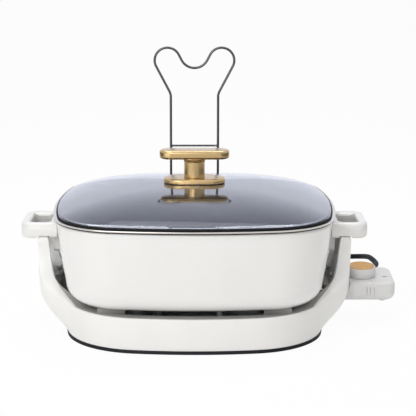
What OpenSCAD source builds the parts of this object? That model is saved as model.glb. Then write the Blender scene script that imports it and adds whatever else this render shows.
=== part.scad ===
/* [Pan] */
// Half the outer width of the pan at its rim
pan_half = 150.5; // [135:0.5:165]
// Plan radius of the pan's corners, measured at the lid's edge
corner_r = 75; // [65:1:85]
// Plan radius of the slightly bowed sides
bow_r = 520; // [400:10:800]
// Height of the pan's underside above the counter
pan_bottom = 41.5; // [39:0.5:46]
// Height of the pan's rim above the counter
pan_rim = 128.4; // [115:0.2:150]
// How far the wall draws in from rim to bottom
pan_draft = 12.5; // [6:0.5:18]
// Radius between wall and bottom
pan_fillet = 22; // [16:1:28]
// Wall of the cast pan
pan_wall = 3.2; // [2.4:0.2:4]

/* [Lid] */
// Overhang of the steel band beyond the pan's rim
rim_over = 2; // [1:0.5:4]
// Height of the steel band
rim_h = 7.4; // [6.6:0.2:9]
// Sheet of the steel band
rim_sheet = 1.6; // [1.2:0.1:2]
// Thickness of the glass
glass_t = 3.7; // [3:0.1:4.2]
// Rise of the glass from its edge to its crown
dome_rise = 21; // [14:1:30]
// Length of the knob's bar
bar_len = 77; // [60:1:90]
// Depth of the knob's bar
bar_deep = 28; // [26:1:34]
// Thickness of the knob's bar
bar_t = 9.6; // [7:0.2:12]
// Diameter of the knob's stem
stem_d = 23; // [18:0.5:24]
// Height of the knob's stem
stem_h = 21; // [16:1:28]
// Length of the oval flange under the stem
flange_len = 68; // [54:1:76]
// Depth of the oval flange
flange_deep = 40; // [34:1:46]
// Thickness of the oval flange
flange_t = 4.7; // [3.5:0.1:6]

/* [Base] */
// Half the width of the base at the counter
base_half = 140.5; // [134:0.5:146]
// Plan radius of the base's corners
base_corner = 85; // [78:1:92]
// Plan radius of the base's bowed sides
base_bow = 435; // [380:5:600]
// Height of the base's front rim
rim_z = 37; // [35:0.5:39]
// Height of the black foot ring
foot_h = 3; // [2:0.5:4]
// Wall of the base shell
shell_wall = 3; // [2.4:0.2:3.6]
// Thickness of an arm at its top, from its inner to its outer face
arm_deep = 11.4; // [10:0.1:13]
// Gap between the pan's wall and an arm's top
arm_from_pan = 10.6; // [9:0.1:12]
// Extra lean of an arm's outer face from its foot to its top
arm_lean = 3.6; // [2:0.1:5]
// Half the depth of an arm at its top
arm_half = 35; // [31:0.5:40]
// How far an arm's top reaches into the handle above it
arm_into_handle = 3.5; // [2:0.5:5]

/* [Handles] */
// Length of a handle outwards from the pan's wall
handle_len = 39.2; // [35:0.1:46]
// Half the depth of a handle
handle_half = 36; // [32:0.5:38]
// Height of a handle's underside
handle_z = 98; // [92:0.5:104]
// Height of a handle
handle_h = 17.5; // [14:0.5:20]
// Bar round the finger slot, outer end
handle_bar = 10; // [8:0.5:12]
// Bar round the finger slot, front and back
handle_side = 14; // [11:0.5:16]

/* [Lid holder] */
// Diameter of the holder's wire
wire_d = 3; // [2.6:0.1:4]
// Half the distance between the holder's legs
leg_half = 28.6; // [25:0.2:33]
// Height of the dip that takes the knob's stem
dip_z = 266; // [250:1:285]
// Radius of the dip
dip_r = 17.5; // [15:0.5:20]
// Radius of the two horns
horn_r = 15.3; // [12:0.1:18]
// Lean of the straight runs beside the horns, from upright
horn_lean = 27.8; // [20:0.2:34]
// Height of the cross bar
cross_z = 171.5; // [165:0.5:190]

/* [Control] */
// Length of the control's housing outwards from the arm
ctl_len = 49.5; // [44:0.5:58]
// Half the depth of the control's housing
ctl_half = 29; // [26:0.5:34]
// Height of the housing's underside
ctl_z = 26.5; // [24:0.5:27.5]
// Height of the housing's top at the dial
ctl_top = 49.2; // [47:0.2:53]
// Slope of the housing's top towards the user
ctl_tilt = 5; // [0:0.5:8]
// Wall of the control's housing
ctl_wall = 2.2; // [1.8:0.1:2.8]
// Radius of the dial
dial_r = 15.8; // [13:0.1:16]
// Height of the dial above the housing
dial_h = 11.2; // [9:0.2:13]
// Radius of the probe rod
probe_r = 3; // [2.5:0.1:3.4]

/* [Cord] */
// Diameter of the cord
cord_d = 6.5; // [5.5:0.1:6.8]
// Mean radius of the put-away coil
coil_r = 37.5; // [35:0.5:39]
// Loops in the put-away coil
coil_loops = 2; // [2:2:4]
// Distance between neighbouring turns of the coil
coil_step = 7.2; // [7:0.1:8]

/* [Hidden] */
$fn = 48;

// Clearances: free fit, running fit, and the gap between curved faces of two bodies
free_gap = 0.4;
run_gap = 0.05;
body_gap = 0.3;

// Outlines: a square with bowed sides and round corners, traced by the direction it faces
function corner_at(half, corner, bow) =
  let (s = half - bow, t = bow - corner)
  (s + sqrt(2 * t * t - s * s)) / 2;
function bow_angle(half, corner, bow) =
  let (c = corner_at(half, corner, bow))
  atan2(c, c - half + bow);
function quarter_turn(p, k) =
  [p.x * cos(90 * k) - p.y * sin(90 * k), p.x * sin(90 * k) + p.y * cos(90 * k)];
function edge_point(half, corner, bow, angle) =
  let (k = round(angle / 90), a = angle - 90 * k, c = corner_at(half, corner, bow))
  abs(a) <= bow_angle(half, corner, bow) + 0.001
    ? quarter_turn([half - bow + bow * cos(a), bow * sin(a)], k)
    : quarter_turn([c + corner * cos(a), sign(a) * c + corner * sin(a)], k);
function outline_angles(half, corner, bow) =
  let (b = bow_angle(half, corner, bow))
  [for (k = [0 : 3]) each concat(
    [for (i = [0 : 3]) 90 * k - b + 2 * b * i / 4],
    [for (i = [0 : 11]) 90 * k + b + (90 - 2 * b) * i / 12])];
function ring(half, corner, bow, grow, z) =
  [for (a = outline_angles(half, corner, bow))
    let (p = edge_point(half + grow, corner + grow, bow + grow, a)) [p.x, p.y, z]];
function scaled(points, k, z) = [for (p = points) [p.x * k, p.y * k, z]];
function lid_ring(grow, z) = ring(lid_half, corner_r, bow_r, grow, z);
function base_ring(grow, z) = ring(base_half, base_corner, base_bow, grow, z);

// A closed skin over a stack of rings, capped at both ends or joined end to end
module skin(rings, joined = false) {
  n = len(rings[0]);
  m = len(rings);
  caps = joined ? [] : [[for (i = [0 : n - 1]) i], [for (i = [n - 1 : -1 : 0]) (m - 1) * n + i]];
  sides = [for (r = [0 : m - (joined ? 1 : 2)], i = [0 : n - 1])
    let (j = (i + 1) % n, q = (r + 1) % m)
    each [[r * n + i, q * n + i, q * n + j], [r * n + i, q * n + j, r * n + j]]];
  polyhedron([for (r = rings) each r], concat(sides, caps), convexity = 10);
}

// A round tube along a list of points
function unit(v) = v / norm(v);
function along(path, i) = unit(path[min(i + 1, len(path) - 1)] - path[max(i - 1, 0)]);
function side_of(d) = unit(cross(abs(d.z) > 0.9 ? [0, 1, 0] : [0, 0, 1], d));
module tube(path, r, sides = 8) {
  skin([for (i = [0 : len(path) - 1])
    let (d = along(path, i), s = side_of(d), u = cross(d, s))
    [for (k = [0 : sides - 1]) path[i] + r * (cos(360 * k / sides) * s + sin(360 * k / sides) * u)]]);
}

// Shapes that repeat
module rod(x, y, z, r, len) {
  translate([x, y, z])
    rotate([0, 90, 0])
      cylinder(r = r, h = len);
}
module stadium(len, deep) {
  square([len - deep, deep], center = true);
  for (s = [-1, 1])
    translate([s * (len - deep) / 2, 0])
      circle(d = deep);
}
module round_plate(x0, x1, half, r) {
  translate([x0 + r, -half])
    square([x1 - x0 - 2 * r, 2 * half]);
  translate([x0, -half + r])
    square([x1 - x0, 2 * half - 2 * r]);
  for (x = [x0 + r, x1 - r], y = [-half + r, half - r])
    translate([x, y])
      circle(r = r);
}
module screw(r, len, head_r, head_h) {
  translate([0, 0, -len])
    cylinder(r = r, h = len);
  difference() {
    cylinder(r = head_r, h = head_h);
    for (a = [0, 90])
      rotate(a)
        translate([-head_r * 0.6, -head_r * 0.12, head_h * 0.4])
          cube([head_r * 1.2, head_r * 0.24, head_h]);
  }
}

// Base levels
lid_half = pan_half + rim_over;
arm_top = handle_z + arm_into_handle - free_gap;
wall_gap = 0.4;
handle_in = lid_half + pan_at(handle_z + handle_h) + wall_gap;
handle_reach = handle_in + handle_len;
arm_out = handle_in + arm_from_pan + arm_deep - arm_lean - base_half;
lip_h = 3.5;
lip_t = 3.2;
cover_t = 2.5;
cover_top = foot_h + cover_t;
shield_z = 14;
shield_t = 1;
shield_top = shield_z + shield_t;
shield_inset = 14.5;
plate_t = 6;
plate_r = 95;
plate_gap = 0.3;
plate_z = pan_bottom - plate_gap - plate_t;
element_r = 3.3;
element_ring_r = 75;
seat_gap = 0.1;
element_z = plate_z - element_r - seat_gap;
element_gap_deg = 14;

// An arm's front and back edges: depth and height against how far up the edge
arm_spread = 55;
arm_taper = 3;
function arm_edge(t) = arm_half + arm_taper * (1 - t) + (arm_spread - arm_taper) * pow(1 - t, 4);
function arm_height(t) = rim_z + (arm_top - rim_z) * t;
// How far up the edge a depth is reached, found by halving
function edge_share(y, low = 0, high = 1, halvings = 20) =
  let (mid = (low + high) / 2)
  halvings == 0 ? mid
    : arm_edge(mid) > y ? edge_share(y, mid, high, halvings - 1)
    : edge_share(y, low, mid, halvings - 1);
function arm_hollow(t) = arm_height(edge_share(arm_edge(t) + lip_h)) - lip_h;
// An arm's outer and inner faces, as distances out from the base's outline:
// outside, a slant from the foot blends into the steep upper face
arm_slant = 1.2;
arm_round = 24;
function arm_outer(z) =
  let (h = z - foot_h,
       slant = arm_slant * h,
       steep = arm_out + arm_lean * h / (arm_top - foot_h),
       blend = max(0, 1 - abs(slant - steep) / arm_round))
  min(slant, steep) - arm_round * blend * blend / 4;
arm_draw = 0.1;
arm_curl = 12;
arm_in = arm_out + arm_lean + lip_t - arm_deep - arm_draw * (arm_top - rim_z + lip_h);
function arm_inner(z) = z <= rim_z - lip_h ? 0
  : arm_in * (1 - exp((rim_z - lip_h - z) / arm_curl)) + arm_draw * (z - rim_z + lip_h);
function ease(t) = let (c = max(0, min(1, t))) c * c * (3 - 2 * c);

// Stations round a quarter of the shell: facing angle, rim height, hollow height, arm share
function face_angle(y) =
  let (c = corner_at(base_half, base_corner, base_bow),
       b = bow_angle(base_half, base_corner, base_bow))
  y <= base_bow * sin(b) ? asin(y / base_bow) : asin((y - c) / base_corner);
arm_core = arm_half - lip_h;
arm_corner = 2;
arm_blend = 60;
arm_fade = 55;
function arm_share(y) = ease((arm_half + arm_blend - y) / arm_fade);
core_stations = [for (y = [0, 0.35, 0.7, 1])
  [face_angle(y * arm_core), arm_top, arm_top - lip_h, 1]];
edge_stations = [for (t = [1, 0.85, 0.7, 0.55, 0.4, 0.28, 0.18, 0.09, 0])
  [face_angle(arm_edge(t)), arm_height(t) - (t == 1 ? arm_corner : 0), arm_hollow(t), arm_share(arm_edge(t))]];
corner_start = face_angle(arm_half + arm_spread);
corner_end = 90 - bow_angle(base_half, base_corner, base_bow);
corner_steps = 7;
bow_steps = 3;
front_angles = concat(
  [for (i = [1 : corner_steps]) corner_start + (corner_end - corner_start) * i / corner_steps],
  [for (i = [1 : bow_steps]) corner_end + (90 - corner_end) * i / bow_steps]);
front_stations = [for (a = front_angles)
  [a, rim_z, rim_z - lip_h, arm_share(edge_point(base_half, base_corner, base_bow, a).y)]];
quarter = concat(core_stations, edge_stations, front_stations);
function mirrored(list, about) = [for (i = [len(list) - 2 : -1 : 1])
  [about - list[i][0], list[i][1], list[i][2], list[i][3]]];
half_turn = concat(quarter, mirrored(quarter, 180), [[180, quarter[0][1], quarter[0][2], 1]]);
stations = concat(half_turn, mirrored(half_turn, 360));

function shell_point(s, out, z) =
  let (p = edge_point(base_half, base_corner, base_bow, s[0]))
  [p.x + out * cos(s[0]), p.y + out * sin(s[0]), z];
outer_steps = 8;
inner_steps = 7;
lip_steps = 3;
shell_rings = concat(
  [for (j = [0 : outer_steps]) [for (s = stations)
    let (z = foot_h + (s[1] - foot_h) * pow(j / outer_steps, 1.6))
    shell_point(s, s[3] * arm_outer(z), z)]],
  [for (j = [0 : lip_steps]) [for (s = stations)
    let (z = s[1] + (s[2] - s[1]) * j / lip_steps)
    shell_point(s, s[3] * arm_inner(z) - lip_t, z)]],
  [for (j = [0 : inner_steps]) [for (s = stations)
    let (z = foot_h + (s[2] - foot_h) * pow(1 - j / inner_steps, 1.6))
    shell_point(s, s[3] * arm_outer(z) - shell_wall, z)]]);

// Inlet in the right arm, where the control plugs in
inlet_drop = 6;
inlet_z = pan_bottom - inlet_drop;
nose_half = 19.5;
nose_h = 10;
pin_r = 2.4;
pin_y = 13;
sleeve_t = 0.9;
arm_face = base_half + arm_outer(ctl_top);
ctl_gap = 0.4;
ctl_x = arm_face + ctl_gap;
nose_reach = 13.5;
nose_x = ctl_x - nose_reach;
inlet_gap = 0.5;
inlet_wall = 3;
inlet_low = inlet_z - nose_h / 2 - inlet_wall;
inlet_x = base_half + arm_outer(inlet_low) - shell_wall - inlet_gap;
inlet_deep = 17;
inlet_back = 4;
inlet_cut = 1.5;
boss_r = 4;
boss_gap = 0.8;

module cradle_shell() {
  skin_x = arm_x(arm_screw_y) + arm_outer(arm_screw_z) - shell_wall;
  boss_x = arm_screw_x + cover_t + boss_gap;
  cut_x = nose_x - inlet_back;
  color("whitesmoke")
    difference() {
      union() {
        skin(shell_rings, joined = true);
        for (m = [0, 1], s = [-1, 1])
          mirror([m, 0, 0])
            rod(boss_x, s * arm_screw_y, arm_screw_z, boss_r, skin_x + shell_wall / 3 - boss_x);
      }
      for (m = [0, 1], s = [-1, 1])
        mirror([m, 0, 0])
          rod(boss_x - 1, s * arm_screw_y, arm_screw_z, arm_screw_r + run_gap, skin_x + 1 - boss_x);
      translate([cut_x, -nose_half - inlet_cut, inlet_z - nose_h / 2 - inlet_cut])
        cube([ctl_x + ctl_len - cut_x, 2 * (nose_half + inlet_cut), nose_h + 2 * inlet_cut]);
    }
}

foot_w = 9;
module foot_ring() {
  color("black")
    linear_extrude(foot_h)
      difference() {
        polygon([for (p = base_ring(0, 0)) [p.x, p.y]]);
        polygon([for (p = base_ring(-foot_w, 0)) [p.x, p.y]]);
      }
}

cover_screw_in = 52.5;
cover_screw_xy = base_half - cover_screw_in;
cover_screw_r = 1.9;
cover_head_r = 3.6;
cover_head_h = 1.8;
module bottom_cover() {
  color("dimgray")
    difference() {
      translate([0, 0, foot_h])
        linear_extrude(cover_t)
          polygon([for (p = base_ring(-shell_wall - free_gap, 0)) [p.x, p.y]]);
      for (x = [-1, 1], y = [-1, 1])
        translate([x * cover_screw_xy, y * cover_screw_xy, 0])
          cylinder(r = cover_screw_r + free_gap, h = 2 * cover_top);
    }
}

module bottom_screws() {
  color("silver")
    for (x = [-1, 1], y = [-1, 1])
      translate([x * cover_screw_xy, y * cover_screw_xy, foot_h])
        mirror([0, 0, 1])
          screw(cover_screw_r, shield_z - foot_h - shield_t, cover_head_r, cover_head_h);
}

module shield_standoffs() {
  color("silver")
    for (x = [-1, 1], y = [-1, 1])
      translate([x * cover_screw_xy, y * cover_screw_xy, cover_top])
        difference() {
          cylinder(r = post_r, h = shield_z - cover_top);
          translate([0, 0, -shield_t])
            cylinder(r = cover_screw_r + seat_gap, h = shield_z - cover_top);
        }
}

module heat_shield() {
  color("lightgray")
    translate([0, 0, shield_z])
      linear_extrude(shield_t)
        polygon([for (p = base_ring(-shield_inset, 0)) [p.x, p.y]]);
}

pad_in = [53.5, 34.5];
pad_x = base_half - pad_in.x;
pad_y = base_half - pad_in.y;
pad_w = 29;
pad_d = 12;
module pan_support_pads() {
  color("gainsboro")
    for (x = [-1, 1], y = [-1, 1])
      translate([x * pad_x - pad_w / 2, y * pad_y - pad_d / 2, shield_top])
        cube([pad_w, pad_d, pan_bottom - shield_top]);
}

post_r = 5;
post_ring_r = 55;
module plate_posts() {
  color("silver")
    for (a = [60, 180, 300])
      rotate(a)
        translate([post_ring_r, 0, shield_top])
          cylinder(r = post_r, h = plate_z - shield_top);
}

module heating_plate() {
  color("silver")
    translate([0, 0, plate_z])
      cylinder(r = plate_r, h = plate_t, $fn = 96);
}

element_tail = plate_r + 23;
element_bend = 14;
element_steps = 40;
element_y = element_ring_r * sin(element_gap_deg / 2);
element_path = concat(
  [[element_tail, element_y, element_z], [element_ring_r + element_bend, element_y, element_z]],
  [for (i = [0 : element_steps])
    let (a = element_gap_deg + (360 - 2 * element_gap_deg) * i / element_steps)
    [element_ring_r * cos(a), element_ring_r * sin(a), element_z]],
  [[element_ring_r + element_bend, -element_y, element_z], [element_tail, -element_y, element_z]]);
module heating_element() {
  color("dimgray")
    tube(element_path, element_r, 8);
}

clip_w = 10;
clip_t = 2;
module element_clips() {
  color("lightgray")
    for (a = [120, 240])
      rotate(a)
        translate([element_ring_r, 0, 0])
          difference() {
            translate([-element_r - clip_t, -clip_w / 2, shield_top])
              cube([2 * element_r + 2 * clip_t, clip_w, element_z + element_r - shield_top]);
            translate([-element_r - body_gap, -clip_w, shield_top + clip_t])
              cube([2 * (element_r + body_gap), 2 * clip_w, plate_z - shield_top]);
          }
}

fuse_r = 3;
fuse_len = 16;
fuse_at = [plate_r + 11, -36, shield_top + fuse_r + seat_gap];
module thermal_fuse() {
  color("white")
    rod(fuse_at.x, fuse_at.y, fuse_at.z, fuse_r, fuse_len);
}

cup_len = 17;
cup_wall = 2;
cup_end = 3;
module probe_cup() {
  color("silver")
    difference() {
      rod(plate_r + seat_gap, 0, inlet_z, probe_r + cup_wall, cup_len);
      rod(plate_r + cup_end, 0, inlet_z, probe_r + body_gap, cup_len);
    }
}

module inlet_socket() {
  color("ivory")
    difference() {
      translate([inlet_x - inlet_deep, -nose_half - inlet_wall - inlet_gap, inlet_low])
        cube([inlet_deep, 2 * (nose_half + inlet_wall + inlet_gap), nose_h + 2 * inlet_wall]);
      translate([inlet_x - inlet_deep + inlet_back, -nose_half - inlet_gap, inlet_z - nose_h / 2 - inlet_gap])
        cube([inlet_deep, 2 * (nose_half + inlet_gap), nose_h + 2 * inlet_gap]);
      rod(inlet_x - inlet_deep - 1, 0, inlet_z, probe_r + inlet_gap, inlet_deep);
      for (s = [-1, 1])
        rod(inlet_x - inlet_deep - 1, s * pin_y, inlet_z, pin_r + run_gap, inlet_deep);
    }
}

pin_back = 8;
pin_reach = 13;
module terminal_pins() {
  color("silver")
    for (s = [-1, 1])
      rod(inlet_x - inlet_deep - pin_back, s * pin_y, inlet_z, pin_r,
        nose_x + pin_reach - inlet_x + inlet_deep + pin_back);
}

wire_r = 1.3;
pin_end = inlet_x - inlet_deep - pin_back;
wire_lead = 3;
function lead_out(p, way) = [p + [way * seat_gap, 0, 0], p + [way * wire_lead, 0, 0]];
function lead_in(p, way) = [p + [way * wire_lead, 0, 0], p + [way * seat_gap, 0, 0]];
pin_spot = [pin_end, pin_y, inlet_z];
tail_spot = [element_tail, element_y, element_z];
fuse_spot = fuse_at + [fuse_len, 0, 0];
function flipped(p) = [p.x, -p.y, p.z];
module internal_wires() {
  color("firebrick") {
    tube(concat(lead_out(pin_spot, -1), lead_in(tail_spot, 1)), wire_r, 6);
    tube(concat(lead_out(flipped(pin_spot), -1), [(flipped(pin_spot) + fuse_spot) / 2], lead_in(fuse_spot, 1)),
      wire_r, 6);
    tube(concat(lead_out(fuse_at, -1), [fuse_at + [-wire_lead, 2 * wire_lead, wire_lead]],
      [flipped(tail_spot) + [2 * wire_lead, -2 * wire_lead, -wire_lead]], lead_in(flipped(tail_spot), 1)),
      wire_r, 6);
  }
}

// Inner covers of the arms
cover_ts = [0.24, 0.32, 0.42, 0.55, 0.75, 1];
cover_side_gap = 2.2;
cover_top_gap = 0.6;
cover_rows = concat(
  [for (t = cover_ts) [arm_edge(t) - cover_side_gap, arm_hollow(t) - cover_top_gap]],
  [[arm_core - cover_side_gap, arm_top - lip_h - cover_top_gap]]);
cover_cols = [-1, -0.5, 0, 0.5, 1];
function arm_x(y) = edge_point(base_half, base_corner, base_bow, face_angle(abs(y))).x;
function cover_section(row) = concat(
  [for (k = cover_cols) [arm_x(k * row[0]) + arm_inner(row[1]) - lip_t, k * row[0], row[1]]],
  [for (k = -cover_cols) [arm_x(k * row[0]) + arm_inner(row[1]) - lip_t + cover_t, k * row[0], row[1]]]);
arm_screw_y = 16;
arm_screw_z = 54;
arm_screw_r = 1.6;
arm_screw_len = 14;
arm_head_r = 3;
arm_head_h = 1.5;
head_lift = 1.4;
arm_screw_x = arm_x(arm_screw_y) + arm_inner(arm_screw_z) - lip_t;
module arm_cover() {
  difference() {
    skin([for (row = cover_rows) [for (p = cover_section(row)) p]]);
    for (s = [-1, 1])
      rod(arm_screw_x - cover_t, s * arm_screw_y, arm_screw_z, arm_screw_r + seat_gap, 3 * cover_t);
  }
}
module right_arm_cover() {
  color("white")
    arm_cover();
}
module left_arm_cover() {
  color("white")
    mirror([1, 0, 0])
      arm_cover();
}
module arm_cover_screws() {
  color("silver")
    for (m = [0, 1], s = [-1, 1])
      mirror([m, 0, 0])
        translate([arm_screw_x - head_lift, s * arm_screw_y, arm_screw_z])
          rotate([0, -90, 0])
            screw(arm_screw_r, arm_screw_len, arm_head_r, arm_head_h);
}

// Socket for the lid holder, on the back of the base
holder_gap = 5.5;
socket_top = 35;
socket_low = 9;
socket_floor = 3;
socket_r = 5.5;
socket_plate_t = 4;
socket_plate_y = base_half + 0.2;
socket_side = 12;
socket_web = 8;
socket_screw_x = 14;
socket_screw_z = (socket_low + socket_top) / 2 + 3;
socket_screw_r = 1.8;
socket_head_r = 3.4;
socket_head_h = 1.8;
holder_y = max(lid_half + holder_gap, socket_plate_y + socket_plate_t + socket_r);
module holder_socket() {
  color("whitesmoke")
    difference() {
      union() {
        translate([-leg_half - socket_side, socket_plate_y, socket_low])
          cube([2 * (leg_half + socket_side), socket_plate_t, socket_top - socket_low]);
        for (s = [-1, 1]) {
          translate([s * leg_half, holder_y, socket_low])
            cylinder(r = socket_r, h = socket_top - socket_low);
          translate([s * leg_half - socket_web / 2, socket_plate_y, socket_low])
            cube([socket_web, holder_y - socket_plate_y, socket_top - socket_low]);
        }
        translate([-leg_half, socket_plate_y, socket_low])
          cube([2 * leg_half, holder_y - socket_plate_y, socket_plate_t]);
      }
      for (s = [-1, 1]) {
        translate([s * leg_half, holder_y, socket_low + socket_floor])
          cylinder(d = wire_d + 2 * seat_gap, h = socket_top);
        translate([s * socket_screw_x, socket_plate_y - 1, socket_screw_z])
          rotate([-90, 0, 0])
            cylinder(r = socket_screw_r + seat_gap, h = socket_plate_t + 2);
      }
    }
}
module holder_socket_screws() {
  color("silver")
    for (s = [-1, 1])
      translate([s * socket_screw_x, socket_plate_y + socket_plate_t, socket_screw_z])
        rotate([-90, 0, 0])
          screw(socket_screw_r, socket_plate_t - 0.2, socket_head_r, socket_head_h);
}

// Pan
function pan_at(z) = pan_half - pan_draft * pow((pan_rim - z) / (pan_rim - pan_bottom), 1.6) - lid_half;
fillet_z = pan_bottom + pan_fillet;
floor_t = 4;
pan_floor = pan_bottom + floor_t;
inner_fillet = pan_fillet - pan_wall + 0.2;
edge_round = 0.8;
module pan_body() {
  wall_top = pan_rim - 1.5 * edge_round;
  outer = concat(
    [for (a = [0, 22, 45, 66])
      lid_ring(pan_at(fillet_z) - pan_fillet * (1 - sin(a)), fillet_z - pan_fillet * cos(a))],
    [for (i = [0 : 4]) let (z = fillet_z + (wall_top - fillet_z) * i / 4) lid_ring(pan_at(z), z)]);
  inner_z = pan_floor + inner_fillet;
  inner = concat(
    [for (i = [4 : -1 : 0]) let (z = inner_z + (wall_top - inner_z) * i / 4) lid_ring(pan_at(z) - pan_wall, z)],
    [for (a = [66, 45, 22, 0])
      lid_ring(pan_at(inner_z) - pan_wall - inner_fillet * (1 - sin(a)), inner_z - inner_fillet * cos(a))]);
  lip = [lid_ring(pan_at(pan_rim) - edge_round, pan_rim),
    lid_ring(pan_at(pan_rim) - pan_wall + edge_round, pan_rim)];
  color("white")
    skin(concat(outer, lip, inner));
}

// Handles: a loop with a finger slot, a seat for the arm's top and a tab on the pan's wall
slot_wall = 9;
slot_in = handle_in + slot_wall;
slot_out = handle_reach - handle_bar;
slot_half = handle_half - handle_side;
slot_r = 6;
end_r = 14;
tab_h = 11;
tab_t = 4;
tab_half = 24;
stud_y = 24;
stud_z = handle_z + handle_h / 2;
stud_r = 3;
stud_deep = 8;
stud_gap = 0.5;
tab_screw_z = handle_z - tab_h / 2 - 1;
tab_screw_r = 1.6;
tab_head_r = 3.2;
tab_head_h = 1;
seat_room = 1.2;
seat_in = arm_x(arm_half) + arm_inner(arm_top) - lip_t - seat_room;
seat_out = base_half + arm_out + arm_lean + seat_room;
seat_half = arm_half + 2;
module handle() {
  difference() {
    union() {
      translate([0, 0, handle_z])
        linear_extrude(handle_h)
          difference() {
            intersection() {
              round_plate(handle_in - end_r, handle_reach, handle_half, end_r);
              translate([handle_in, -handle_half])
                square([handle_reach - handle_in, 2 * handle_half]);
            }
            round_plate(slot_in, slot_out, slot_half, slot_r);
          }
      translate([handle_in, -tab_half, handle_z - tab_h])
        cube([tab_t, 2 * tab_half, tab_h]);
    }
    translate([seat_in, -seat_half, handle_z - 1])
      cube([seat_out - seat_in, 2 * seat_half, arm_into_handle + 1]);
    for (s = [-1, 1])
      rod(handle_in - 1, s * stud_y, stud_z, stud_r + run_gap, stud_deep + 1);
    rod(handle_in - 1, 0, tab_screw_z, tab_screw_r + run_gap, tab_t + 2);
  }
}
module right_handle() {
  color("white")
    handle();
}
module left_handle() {
  color("white")
    mirror([1, 0, 0])
      handle();
}
function pan_wall_x(y, z) =
  let (grow = pan_at(z), bow = bow_r + grow)
  lid_half + grow - bow + sqrt(bow * bow - y * y);
stud_x = pan_wall_x(stud_y + stud_r, stud_z + stud_r) + stud_gap;
module handle_studs() {
  color("silver")
    for (m = [0, 1], s = [-1, 1])
      mirror([m, 0, 0])
        rod(stud_x, s * stud_y, stud_z, stud_r, handle_in + stud_deep - stud_x);
}
module handle_screws() {
  color("silver")
    for (m = [0, 1])
      mirror([m, 0, 0])
        translate([handle_in + tab_t, 0, tab_screw_z])
          rotate([0, 90, 0])
            screw(tab_screw_r, tab_t, tab_head_r, tab_head_h);
}

// Lid
rim_low = pan_rim + body_gap;
rim_top = rim_low + rim_h;
glass_low = rim_low + rim_sheet + 2 * seat_gap;
glass_grow = -rim_sheet - body_gap;
glass_top = glass_low + glass_t;
crown_z = glass_top + dome_rise;
screw_hole = 3.2;
hole_room = 1;
function dome(k) = dome_rise * pow(1 - pow(k, 2.6), 0.9);
module lid_glass() {
  edge = lid_ring(glass_grow, 0);
  hole = (screw_hole + hole_room) / lid_half;
  steps = [hole, 0.25, 0.45, 0.62, 0.76, 0.88, 0.96];
  color("lightsteelblue", 0.5)
    skin(concat(
      [for (k = steps) scaled(edge, k, glass_low + dome(k))],
      [scaled(edge, 1, glass_low), scaled(edge, 1, glass_top)],
      [for (i = [len(steps) - 1 : -1 : 0]) scaled(edge, steps[i], glass_top + dome(steps[i]))]), joined = true);
}
groove_deep = 4.6;
module lid_rim() {
  color("silver")
    skin([lid_ring(-groove_deep - rim_sheet, rim_low), lid_ring(-1.2, rim_low), lid_ring(0, rim_low + 1.2),
      lid_ring(0, rim_top - 2.2), lid_ring(-0.9, rim_top - 0.6), lid_ring(-2.6, rim_top),
      lid_ring(-groove_deep, rim_top - 0.3), lid_ring(-groove_deep, glass_top + 1.2),
      lid_ring(-rim_sheet, glass_top + 0.2), lid_ring(-rim_sheet, rim_low + rim_sheet),
      lid_ring(-groove_deep - rim_sheet, rim_low + rim_sheet)], joined = true);
}

gasket_t = 0.9;
gasket_inset = 3;
gasket_z = crown_z;
flange_z = gasket_z + gasket_t;
stem_z = flange_z + flange_t;
bar_z = stem_z + stem_h;
knob_screw_r = 2.5;
knob_bore = 15;
module knob_gasket() {
  color("dimgray")
    translate([0, 0, gasket_z])
      difference() {
        linear_extrude(gasket_t)
          stadium(flange_len - 2 * gasket_inset, flange_deep - 2 * gasket_inset);
        translate([0, 0, -1])
          cylinder(r = screw_hole, h = gasket_t + 2);
      }
}
module knob_flange() {
  color("goldenrod")
    difference() {
      translate([0, 0, flange_z])
        linear_extrude(flange_t)
          stadium(flange_len, flange_deep);
      translate([0, 0, flange_z - 1])
        cylinder(r = screw_hole, h = flange_t + 2);
    }
}
module knob() {
  fillet = 4;
  color("goldenrod")
    difference() {
      union() {
        translate([0, 0, stem_z])
          cylinder(d = stem_d, h = stem_h + 1);
        translate([0, 0, bar_z - fillet])
          rotate_extrude()
            difference() {
              translate([stem_d / 2 - 1, 0])
                square([fillet / 2 + 1, fillet + 1]);
              translate([stem_d / 2 + fillet, 0])
                circle(r = fillet);
            }
        translate([0, 0, bar_z])
          linear_extrude(bar_t)
            stadium(bar_len, bar_deep);
      }
      translate([0, 0, stem_z - 1])
        cylinder(r = knob_screw_r + run_gap, h = knob_bore + 1);
    }
}
washer_t = 1.6;
washer_r = 11;
knob_head_r = 5;
knob_head_h = 3;
washer_top = glass_low + dome(washer_r * 1.3 / lid_half) - seat_gap;
module knob_washer() {
  color("dimgray")
    translate([0, 0, washer_top - washer_t])
      difference() {
        cylinder(r = washer_r, h = washer_t);
        translate([0, 0, -1])
          cylinder(r = screw_hole, h = washer_t + 2);
      }
}
module knob_screw() {
  color("silver")
    translate([0, 0, washer_top - washer_t])
      mirror([0, 0, 1])
        screw(knob_screw_r, stem_z + knob_bore - 1 - washer_top + washer_t, knob_head_r, knob_head_h);
}

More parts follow.
